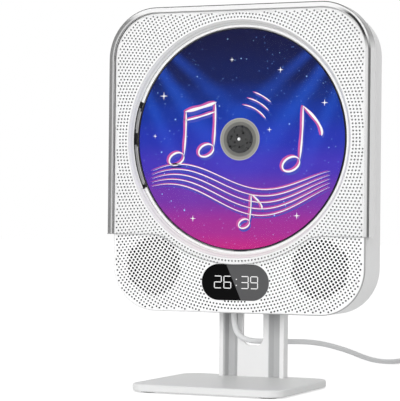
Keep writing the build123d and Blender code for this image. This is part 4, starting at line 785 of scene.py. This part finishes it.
# %% Label's beams
BEAMS = [
    (-1.35, 1.35, -52.0, 0.10, 0.60), (-1.35, 1.35, -40.0, 0.08, 0.42), (-1.35, 1.35, -65.0, 0.08, 0.42),
    (1.35, 1.35, -128.0, 0.10, 0.60), (1.35, 1.35, -140.0, 0.08, 0.42), (1.35, 1.35, -115.0, 0.08, 0.42),
]
for from_x, from_z, angle, spread, strength in BEAMS:
    away_x = maths(tree, "SUBTRACT", across, from_x)
    away_z = maths(tree, "SUBTRACT", up, from_z)
    c = cos(radians(angle))
    s = sin(radians(angle))
    along = maths(tree, "ADD", maths(tree, "MULTIPLY", away_x, c), maths(tree, "MULTIPLY", away_z, s))
    aside = maths(tree, "SUBTRACT", maths(tree, "MULTIPLY", away_z, c), maths(tree, "MULTIPLY", away_x, s))
    share = maths(tree, "DIVIDE", maths(tree, "ABSOLUTE", aside), maths(tree, "MAXIMUM", along, 0.05))
    lit = maths(tree, "MULTIPLY", ramp_down(tree, share, 0.0, spread), ramp_down(tree, along, 0.6, 2.5))
    ink = mix_colour(tree, maths(tree, "MULTIPLY", lit, strength), ink, linear(26, 78, 200), "SCREEN")
specks = add(tree, "ShaderNodeTexVoronoi", {"Vector": place, "Scale": 330.0, "Randomness": 1.0})
speck = maths(tree, "MULTIPLY", ramp_down(tree, specks.outputs["Distance"], 0.05, 0.15), 0.40)
ink = mix_colour(tree, speck, ink, linear(110, 160, 255), "SCREEN")
print("beams", len(BEAMS))

# %% [markdown]
# ## The disc's bare rings
# The label stops short of the middle hole. Grey rings follow, the clear plastic
# round the hole and its moulded step, and a dark line closes the outer rim. Each is
# a change of colour at a radius in millimetres.

# %% Disc's rings
away = maths(tree, "MULTIPLY", length(tree, across, up), 1000 * DISC_RADIUS)
inner = mix_colour(tree, ramp_down(tree, away, 9.2, 9.6), linear(150, 149, 142), linear(112, 112, 108))
inner = mix_colour(tree, ramp_down(tree, away, 10.9, 11.1), linear(178, 178, 170), inner)
ink = mix_colour(tree, ramp_down(tree, away, 11.3, 11.5), ink, inner)
ink = mix_colour(tree, ramp_down(tree, away, 59.3, 59.5), linear(24, 24, 40), ink)
fine = add(tree, "ShaderNodeTexNoise", {"Vector": place, "Scale": 900.0, "Detail": 2.0}).outputs["Fac"]
coat(tree, output, {
    "Base Color": ink, "Roughness": rescale(tree, fine, 0.0, 1.0, 0.30, 0.40), "Specular IOR Level": 0.12})
dress(disc_print, "disc", "compact_disc")
print("disc finish", len(tree.nodes), "nodes")

# %% [markdown]
# ## Curves of the drawing
# The drawing on the disc is notes on a curved staff, with arcs of sound above.
# Each stroke is a small function: give it a share from 0 to 1 and it returns a
# place in millimetres from the disc's middle. So one list can hold staff lines,
# open note heads, stems, flags and arcs alike, with a width and a number of steps.


# %% Drawing's curves
def staff(index):
    """One of five music lines that flow across the disc."""
    def place(share):
        spread = 2.1 + 1.5 * sin(pi * share)
        return -51.5 + 103 * share, -26.5 + spread * (index - 2) + 7.5 * sin(2 * pi * share + 0.75)
    return place


def loop(x, z, long, short, tilt):
    """A closed ellipse, for a note's open head."""
    def place(share):
        turn = 2 * pi * share
        along = long * cos(turn)
        aside = short * sin(turn)
        return x + along * cos(tilt) - aside * sin(tilt), z + along * sin(tilt) + aside * cos(tilt)
    return place


def bow(start, end, sag):
    """A stroke between two points that bends to one side by sag."""
    def place(share):
        bend = 4 * sag * share * (1 - share)
        return (start[0] + (end[0] - start[0]) * share + bend,
                start[1] + (end[1] - start[1]) * share - bend * 0.4)
    return place


def arc(radius, start, end):
    """A piece of a circle about the disc's middle, between two angles in degrees."""
    def place(share):
        turn = radians(start + (end - start) * share)
        return radius * cos(turn), radius * sin(turn)
    return place


STROKES = [(staff(index), 0.62, 120) for index in range(5)]
STROKES += [
    (loop(-37.0, -10.5, 4.6, 3.1, 0.45), 1.3, 60), (loop(-19.5, -6.0, 4.6, 3.1, 0.45), 1.3, 60),
    (bow((-32.6, -8.6), (-31.6, 15.5), 0.4), 1.2, 40), (bow((-15.1, -4.1), (-14.4, 20.0), 0.4), 1.2, 40),
    (bow((-32.2, 15.2), (-13.8, 20.2), 0.6), 2.2, 40), (bow((-32.3, 10.4), (-14.2, 15.2), 0.6), 1.2, 40),
    (loop(29.5, -13.5, 5.2, 3.5, 0.5), 1.4, 60), (bow((34.4, -11.4), (36.0, 17.5), 0.5), 1.3, 40),
    (bow((36.0, 17.5), (46.5, 1.5), 3.6), 1.7, 50),
    (loop(3.0, -45.5, 3.3, 2.3, 0.45), 1.0, 50), (bow((6.1, -44.0), (6.9, -29.5), 0.3), 0.95, 30),
    (bow((6.9, -29.5), (13.0, -37.5), 2.2), 1.15, 40),
    (arc(18.5, 36.0, 84.0), 0.75, 40), (arc(22.5, 42.0, 78.0), 0.75, 40), (arc(26.5, 48.0, 72.0), 0.75, 40),
]
print("strokes", len(STROKES))

# %% [markdown]
# ## Ink on the disc
# A stroke becomes a thin flat ribbon, a row of point pairs on both sides of its
# curve, laid a few hundredths of a millimetre in front of the label. Its width
# swells and thins like a brush line. Each white line has a pink copy behind it,
# moved a little to the side, and a blue one below, like an offset print.

# %% Ribbons of ink
WHITE_INK = finish("white ink", (0.92, 0.92, 0.94, 1), grain=3000, bump=0.03)
PINK_INK = finish("pink ink", linear(196, 78, 158), grain=3000, bump=0.03)
BLUE_INK = finish("blue ink", linear(52, 66, 178), grain=3000, bump=0.03)
INK_LAYERS = [
    ("print_blue_shadow", BLUE_INK, 1.5, 0.00002, (0.5, -1.3)),
    ("print_pink_edge", PINK_INK, 1.7, 0.00004, (-0.9, 0.35)),
    ("print_white_line", WHITE_INK, 1.0, 0.00006, (0.0, 0.0)),
]
LOOK_AHEAD = 0.004


def ribbon(points, faces, place, width, steps, y, shift):
    """Adds a flat strip along a curve, thin at both ends."""
    start = len(points)
    for step in range(steps + 1):
        share = step / steps
        here = Vector(place(share))
        ahead = Vector(place(min(1.0, share + LOOK_AHEAD))) - Vector(place(max(0.0, share - LOOK_AHEAD)))
        across = Vector((-ahead.y, ahead.x)).normalized()
        half = width / 2 * (0.12 + 0.88 * sin(pi * share) ** 0.6) * (0.8 + 0.2 * sin(9 * share))
        for side in (-1, 1):
            spot = here + across * half * side + Vector(shift)
            points.append((spot.x / 1000, y, AXIS_Z + spot.y / 1000))
    for step in range(steps):
        first = start + 2 * step
        faces.append((first, first + 2, first + 3, first + 1))


for name, ink_finish, wider, lift, shift in INK_LAYERS:
    points = []
    faces = []
    for place, width, steps in STROKES:
        ribbon(points, faces, place, width * wider, steps, DISC_FACE - lift, shift)
    mesh_piece(name, points, faces, ink_finish, "disc")
print("ink layers", len(INK_LAYERS), "with", len(faces), "faces each")

# %% [markdown]
# ## Stars and sparkles
# Eight four-pointed stars have their own places. The small round sparkles are
# strewn by a formula that looks random and still gives the same numbers on every
# run, so the print never changes. The square root keeps them from crowding in
# the middle.

# %% Stars and sparkles
PALE_INK = finish("pale blue ink", linear(150, 200, 255), grain=3000, bump=0.03)
STARS = [
    (-45, 24, 2.2), (23, 37, 1.7), (48, 19, 1.9), (-5, 43, 1.4),
    (-27, -43, 1.8), (33, -41, 2.0), (-50, 2, 1.3), (17, 5, 1.5),
]
STAR_WAIST = 0.2
SPARKLES = 54
SPARKLE_SIDES = 12


def scatter(count, seed):
    """A repeatable number between 0 and 1 that looks random."""
    return (sin(count * 12.9898 + seed * 78.233) * 43758.5453) % 1.0


points = []
faces = []
for x, z, size in STARS:
    start = len(points)
    points.append((x / 1000, DISC_FACE - 0.00005, AXIS_Z + z / 1000))
    for tip in range(8):
        reach = size if tip % 2 == 0 else size * STAR_WAIST
        turn = pi / 4 * tip
        points.append((
            (x + reach * cos(turn)) / 1000, DISC_FACE - 0.00005, AXIS_Z + (z + reach * sin(turn)) / 1000))
    for tip in range(8):
        faces.append((start, start + 1 + (tip + 1) % 8, start + 1 + tip))
mesh_piece("print_stars", points, faces, WHITE_INK, "disc")

points = []
faces = []
for count in range(SPARKLES):
    angle = 2 * pi * scatter(count, 1)
    reach = (17.0 + 39.0 * sqrt(scatter(count, 2))) / 1000
    size = (0.16 + 0.34 * scatter(count, 3) ** 2) / 1000
    start = len(points)
    points.extend(circle(
        reach * cos(angle), DISC_FACE - 0.00003, AXIS_Z + reach * sin(angle), size, SPARKLE_SIDES))
    faces.append([start + side for side in reversed(range(SPARKLE_SIDES))])
mesh_piece("print_sparkles", points, faces, PALE_INK, "disc")
print("stars", len(STARS), "and sparkles", SPARKLES)

# %% [markdown]
# ## The spindle's bright tip
# A small dome in the middle of the hub, painted near white, is a painted highlight on the spindle's tip. It
# is part of a globe: one point at its top and four rows of points round it, each row a step further down. It
# rides on the spindle and turns with it.

# %% Spindle's tip
HUB_FACE = FACE + 0.0034
BEAD_RADIUS = 0.0009
BEAD_HEIGHT = 0.0006
BEAD_ROWS = 4
BEAD_SIDES = 20
points = [(0.0, HUB_FACE - BEAD_HEIGHT, AXIS_Z)]
faces = []
for row in range(1, BEAD_ROWS + 1):
    slant = pi / 2 * row / BEAD_ROWS
    points.extend(circle(
        0.0, HUB_FACE - BEAD_HEIGHT * cos(slant), AXIS_Z, BEAD_RADIUS * sin(slant), BEAD_SIDES))
for side in range(BEAD_SIDES):
    after = (side + 1) % BEAD_SIDES
    faces.append((0, 1 + after, 1 + side))
    for row in range(BEAD_ROWS - 1):
        low = 1 + BEAD_SIDES * row
        faces.append((low + side, low + after, low + BEAD_SIDES + after, low + BEAD_SIDES + side))
TIP_PAINTED_HIGHLIGHT = finish("white tip as a painted highlight", (0.95, 0.95, 0.95, 1), rough=0.15, bump=0.0, vary=0.02)
mesh_piece("spindle_tip", points, faces, TIP_PAINTED_HIGHLIGHT, "spindle")
print("tip", round(2000 * BEAD_RADIUS, 1), "mm across")

# %% [markdown]
# Seven small sunk marks lie round the tip. They are too shallow to be worth a Boolean, so each is a flat dark
# disc just in front of the hub: painted shade for the hollow.

# %% Hub's marks
HUB_MARKS = [(2.5, 3.1), (-4.2, 1.4), (-2.3, -1.7), (4.8, -2.2), (-5.0, -3.9), (0.3, -4.3), (-0.9, 2.1)]
MARK_RADIUS = 0.0006
MARK_LIFT = 0.00015
MARK_SIDES = 14
points = []
faces = []
for mark_x, mark_z in HUB_MARKS:
    start = len(points)
    points.extend(circle(
        mark_x / 1000, HUB_FACE - MARK_LIFT, AXIS_Z + mark_z / 1000, MARK_RADIUS, MARK_SIDES))
    faces.append([start + side for side in reversed(range(MARK_SIDES))])
mesh_piece("hub_hole_shades", points, faces, HOLE_BLACK, "spindle")
print("hub marks", len(HUB_MARKS))

# %% [markdown]
# ## Beside the finger notch
# The ring's slope runs on past the finger notch, a thin black line closes it, and
# two soft grey pads lie between that line and the disc. All four are strips between
# two arcs, so one helper makes them: an arc is a radius and a depth.

# %% Notch
SLOPE_TOP = (0.06395, FACE + 0.0001)
SLOPE_FOOT = (0.0622, FACE + 0.0031)
LINE_INNER = (0.0617, FACE + 0.0031)
PAD_INNER = (0.06045, FACE + 0.0045)
PAD_OUTER = (0.0619, FACE + 0.0045)
PAD_ARCS = {"upper_pad_face": (165.1, 176.3), "lower_pad_face": (183.4, 203.2)}


def arc_strip(inner, outer, start, end, steps):
    """The points and faces of a strip between two arcs, from one angle to another."""
    points = []
    faces = []
    for step in range(steps + 1):
        turn = radians(start + (end - start) * step / steps)
        for reach, y in (inner, outer):
            points.append((reach * cos(turn), y, AXIS_Z + reach * sin(turn)))
    for step in range(steps):
        first = 2 * step
        faces.append((first, first + 1, first + 3, first + 2))
    return points, faces


# The slope wears the bezel's paint, with its painted light and shade.
points, faces = arc_strip(SLOPE_TOP, SLOPE_FOOT, NOTCH_START, NOTCH_END, 60)
mesh_piece("notch_slope", points, faces, bezel_light_and_shade, "player")
points, faces = arc_strip(LINE_INNER, SLOPE_FOOT, NOTCH_START, NOTCH_END, 60)
mesh_piece("notch_line", points, faces, HOLE_BLACK, "player")
for name, (start, end) in PAD_ARCS.items():
    points, faces = arc_strip(PAD_INNER, PAD_OUTER, start, end, 30)
    mesh_piece(name, points, faces, PAD, "player")
print("notch", round(NOTCH_END - NOTCH_START, 1), "degrees long")

# %% [markdown]
# ## Signs on the buttons
# The five keys on top carry plain signs: back, play, next, less and more. Each is
# a flat outline, or a few of them, laid on its key and riding with it.

# %% Button signs
SIGN = finish("grey sign ink", (0.16, 0.16, 0.165, 1), rough=0.5, bump=0.03)
TRIANGLE = [(-0.9, -1.0), (0.9, 0.0), (-0.9, 1.0)]
DASH = [(-1.1, -0.25), (1.1, -0.25), (1.1, 0.25), (-1.1, 0.25)]
SIGNS = {
    "previous": [[(x * -0.8 + 0.8, -y) for x, y in TRIANGLE], [(x * -0.8 - 0.8, -y) for x, y in TRIANGLE]],
    "play": [TRIANGLE],
    "next": [[(x * 0.8 - 0.8, y) for x, y in TRIANGLE], [(x * 0.8 + 0.8, y) for x, y in TRIANGLE]],
    "quieter": [DASH],
    "louder": [DASH, [(-0.25, 0.25), (0.25, 0.25), (0.25, 1.1), (-0.25, 1.1)],
               [(-0.25, -1.1), (0.25, -1.1), (0.25, -0.25), (-0.25, -0.25)]],
}
FIRST_KEY_X = -0.024
KEY_PITCH = 0.012
KEY_Y = FACE + 0.013
KEY_TOP = AXIS_Z + 0.0693 + 0.00092
for count, (name, shapes) in enumerate(SIGNS.items()):
    points = []
    faces = []
    key_x = FIRST_KEY_X + KEY_PITCH * count
    for outline in shapes:
        start = len(points)
        points.extend((key_x + px / 1000, KEY_Y + py / 1000, KEY_TOP) for px, py in outline)
        faces.append(list(range(start, start + len(outline))))
    mesh_piece("sign_" + name, points, faces, SIGN, "key_" + name)
print("signs", len(SIGNS))

# %% [markdown]
# Every case screw gets a cross slot: two thin dark bars laid on its head, one
# across the other. The six places come from three pairs mirrored left and right.
# Such fine cuts only matter to the eye, so the CAD model does without them.

# %% Screw slots
SCREW_PLACES = [(58.0, 55.0), (64.0, -40.0), (25.0, -87.5)]
SLOT_LONG = 1.4
SLOT_WIDE = 0.3
SLOT_Y = FACE + 0.0284 - 0.0024 + 0.0016 + 0.00003
# The dark bars are painted shade that stands for the cut slots.
points = []
faces = []
for x, z in [(side * x, z) for x, z in SCREW_PLACES for side in (-1, 1)]:
    for half_wide, half_tall in ((SLOT_LONG, SLOT_WIDE), (SLOT_WIDE, SLOT_LONG)):
        start = len(points)
        for px, pz in ((-1, -1), (1, -1), (1, 1), (-1, 1)):
            points.append(((x + px * half_wide) / 1000, SLOT_Y, AXIS_Z + (z + pz * half_tall) / 1000))
        faces.append((start + 3, start + 2, start + 1, start))
mesh_piece("screw_slots", points, faces, DARK, "player")
print("slotted screws", len(faces) // 2)

# %% [markdown]
# ## The display's window
# The window is black, and a slanted sheen lightens its right half. A real
# reflection would slide away in other views, so the sheen is painted in: X plus
# 0.45 times Z is the same all along its slanted edge.

# %% Display window
SHEEN_SLANT = 0.45
SHEEN_AT = -0.0009 + SHEEN_SLANT * (AXIS_Z + DISPLAY_Z)
window, tree, output = new_material("display window")
at = place_and_axes(tree)[1]
slant = maths(tree, "MULTIPLY_ADD", at["Z"], SHEEN_SLANT, at["X"])
bright = rescale(tree, slant, SHEEN_AT - 0.0001, SHEEN_AT + 0.0001)
coat(tree, output, {
    "Base Color": mix_colour(tree, bright, (0.0012, 0.0012, 0.0014, 1), (0.095, 0.095, 0.097, 1)),
    "Roughness": 0.12, "Specular IOR Level": 0.05})
dress(window, "black_screen", "display_window")
print("window finish", len(tree.nodes), "nodes")

# %% [markdown]
# ## The lit digits
# Thin white digits lie just in front of the window, built from the seven bars that
# such displays have. Each bar has a name from a to g and two end points in a box
# one wide and one tall. A digit is then only a word of bar names. They glow by
# themselves, so their material is a plain Emission.

# %% Digits
LIT, tree, output = new_material("lit digits")
glow = add(tree, "ShaderNodeEmission", {"Color": (1, 1, 1, 1), "Strength": 1.0})
tree.links.new(glow.outputs["Emission"], output.inputs["Surface"])
SEGMENTS = {
    "a": ((0.08, 1.0), (0.92, 1.0)), "b": ((1.0, 0.95), (1.0, 0.55)), "c": ((1.0, 0.45), (1.0, 0.05)),
    "d": ((0.08, 0.0), (0.92, 0.0)), "e": ((0.0, 0.45), (0.0, 0.05)), "f": ((0.0, 0.95), (0.0, 0.55)),
    "g": ((0.08, 0.5), (0.92, 0.5)),
}
DIGITS = {"2": "abged", "6": "afgedc", "3": "abgcd", "9": "abcdfg"}
DIGIT_PLACES = ((-0.0120, "2"), (-0.0065, "6"), (0.0035, "3"), (0.0089, "9"))
DIGIT_TALL = 0.0064
DIGIT_WIDE = 0.0040
STROKE = 0.00045
DIGIT_Y = FACE + 0.00009
DIGIT_THICK = 0.00005
COLON_OFF = 0.0016


def bar(points, faces, start, end, half):
    """A flat six-sided bar with pointed ends, 0.05 mm thick."""
    along = Vector((end[0] - start[0], end[1] - start[1])).normalized()
    across = Vector((-along.y, along.x)) * half
    tip = along * half
    outline = [
        Vector(start) - tip, Vector(start) + across, Vector(end) + across,
        Vector(end) + tip, Vector(end) - across, Vector(start) - across,
    ]
    first = len(points)
    for y in (DIGIT_Y, DIGIT_Y + DIGIT_THICK):
        points.extend((p.x, y, p.y) for p in outline)
    faces.append([first + i for i in range(6)])
    faces.append([first + 6 + i for i in reversed(range(6))])
    for i in range(6):
        j = (i + 1) % 6
        faces.append((first + j, first + i, first + 6 + i, first + 6 + j))


points = []
faces = []
middle = AXIS_Z + DISPLAY_Z
for left, digit in DIGIT_PLACES:
    for name in DIGITS[digit]:
        (x1, z1), (x2, z2) = SEGMENTS[name]
        bar(points, faces,
            (left + x1 * DIGIT_WIDE, middle + (z1 - 0.5) * DIGIT_TALL),
            (left + x2 * DIGIT_WIDE, middle + (z2 - 0.5) * DIGIT_TALL), STROKE / 2)
for z in (middle + COLON_OFF, middle - COLON_OFF):
    bar(points, faces, (0.0006, z), (0.0008, z), 0.0003)
mesh_piece("display_digits", points, faces, LIT, "player")
print("bars", len(faces) // 8)

# %% [markdown]
# ## The room's light
# A pale room gives even soft light, and less of it from above. What the
# camera sees of the room is plain white. What gloss and metal see of it is white
# behind and dark in front, as in a studio where the soft boxes stand in a dark room.

# %% Room
ROOM_LEVEL = 0.82
ABOVE_LEVEL = -0.35
FRONT_LEVEL = 0.1


def seen_by_eye(tree, paths):
    """1 for a ray from the camera, or one by way of a mirror or glass, and 0 for light."""
    return maths(tree, "MAXIMUM", paths["Is Camera Ray"], maths(
        tree, "MAXIMUM", paths["Is Glossy Ray"], paths["Is Transmission Ray"]))


world = bpy.data.worlds.new("room")
bpy.context.scene.world = world
world.use_nodes = True
tree = world.node_tree
tree.nodes.clear()
paths = tree.nodes.new("ShaderNodeLightPath").outputs
direction = tree.nodes.new("ShaderNodeTexCoord").outputs["Generated"]
facing = add(tree, "ShaderNodeSeparateXYZ", {"Vector": direction})
from_above = maths(tree, "MAXIMUM", facing.outputs["Z"], 0.0)
ambient = add(tree, "ShaderNodeBackground", {
    "Color": (1, 1, 1, 1), "Strength": maths(tree, "MULTIPLY_ADD", from_above, ABOVE_LEVEL, ROOM_LEVEL)})
behind = maths(tree, "SUBTRACT", 1.0, ramp_down(tree, facing.outputs["Y"], -0.55, -0.15))
dark_front = maths(tree, "MULTIPLY_ADD", behind, 1 - FRONT_LEVEL, FRONT_LEVEL)
backdrop = add(tree, "ShaderNodeBackground", {
    "Color": (1, 1, 1, 1), "Strength": maths(tree, "MAXIMUM", dark_front, paths["Is Camera Ray"])})
room = add(tree, "ShaderNodeMixShader", {"Fac": seen_by_eye(tree, paths)})
tree.links.new(ambient.outputs[0], room.inputs[1])
tree.links.new(backdrop.outputs[0], room.inputs[2])
result = tree.nodes.new("ShaderNodeOutputWorld")
tree.links.new(room.outputs[0], result.inputs["Surface"])
bpy.context.scene.view_settings.view_transform = "Standard"
print("room level", ROOM_LEVEL, "and", round(ROOM_LEVEL + ABOVE_LEVEL, 2), "from straight above")

# %% [markdown]
# ## The lamp
# One large square soft box in front lifts the face and gives the walls their
# shade. It is kept out of reflections, where it would show as a square.

# %% Lamp
LAMP_PLACE = (0.05, -1.8, 0.40)
LAMP_AIM = (0, 0, 0.12)
lamp_data = bpy.data.lights.new("front soft box", "AREA")
lamp_data.size = 1.3
lamp_data.energy = 25.0
front_lamp = bpy.data.objects.new("front soft box", lamp_data)
bpy.context.scene.collection.objects.link(front_lamp)
front_lamp.location = LAMP_PLACE
front_lamp.rotation_euler = (Vector(LAMP_AIM) - Vector(LAMP_PLACE)).to_track_quat("-Z", "Y").to_euler()
front_lamp.visible_glossy = False
print("lamp", lamp_data.energy, "W")

# %% [markdown]
# ## The floor
# The floor is white to the camera but still takes the player's shadow: a matt
# grey plus a glow that only rays straight from the camera or a reflection see.

# %% Floor
FLOOR_HALF = 6
FLOOR_GLOW = 0.62
floor_mesh = bpy.data.meshes.new("floor")
corners = [(FLOOR_HALF * x, FLOOR_HALF * y, 0) for x, y in ((-1, -1), (1, -1), (1, 1), (-1, 1))]
floor_mesh.from_pydata(corners, [], [(0, 1, 2, 3)])
floor = bpy.data.objects.new("floor", floor_mesh)
bpy.context.scene.collection.objects.link(floor)
floor.location.z = -0.00002
floor_paint, tree, output = new_material("white floor")
seen = seen_by_eye(tree, tree.nodes.new("ShaderNodeLightPath").outputs)
matt = add(tree, "ShaderNodeBsdfDiffuse", {"Color": (0.75, 0.75, 0.75, 1)})
glow = add(tree, "ShaderNodeEmission", {
    "Color": (1, 1, 1, 1), "Strength": maths(tree, "MULTIPLY", seen, FLOOR_GLOW)})
both = tree.nodes.new("ShaderNodeAddShader")
tree.links.new(matt.outputs[0], both.inputs[0])
tree.links.new(glow.outputs[0], both.inputs[1])
tree.links.new(both.outputs[0], output.inputs["Surface"])
floor_mesh.materials.append(floor_paint)
print("floor", 2 * FLOOR_HALF, "m wide")
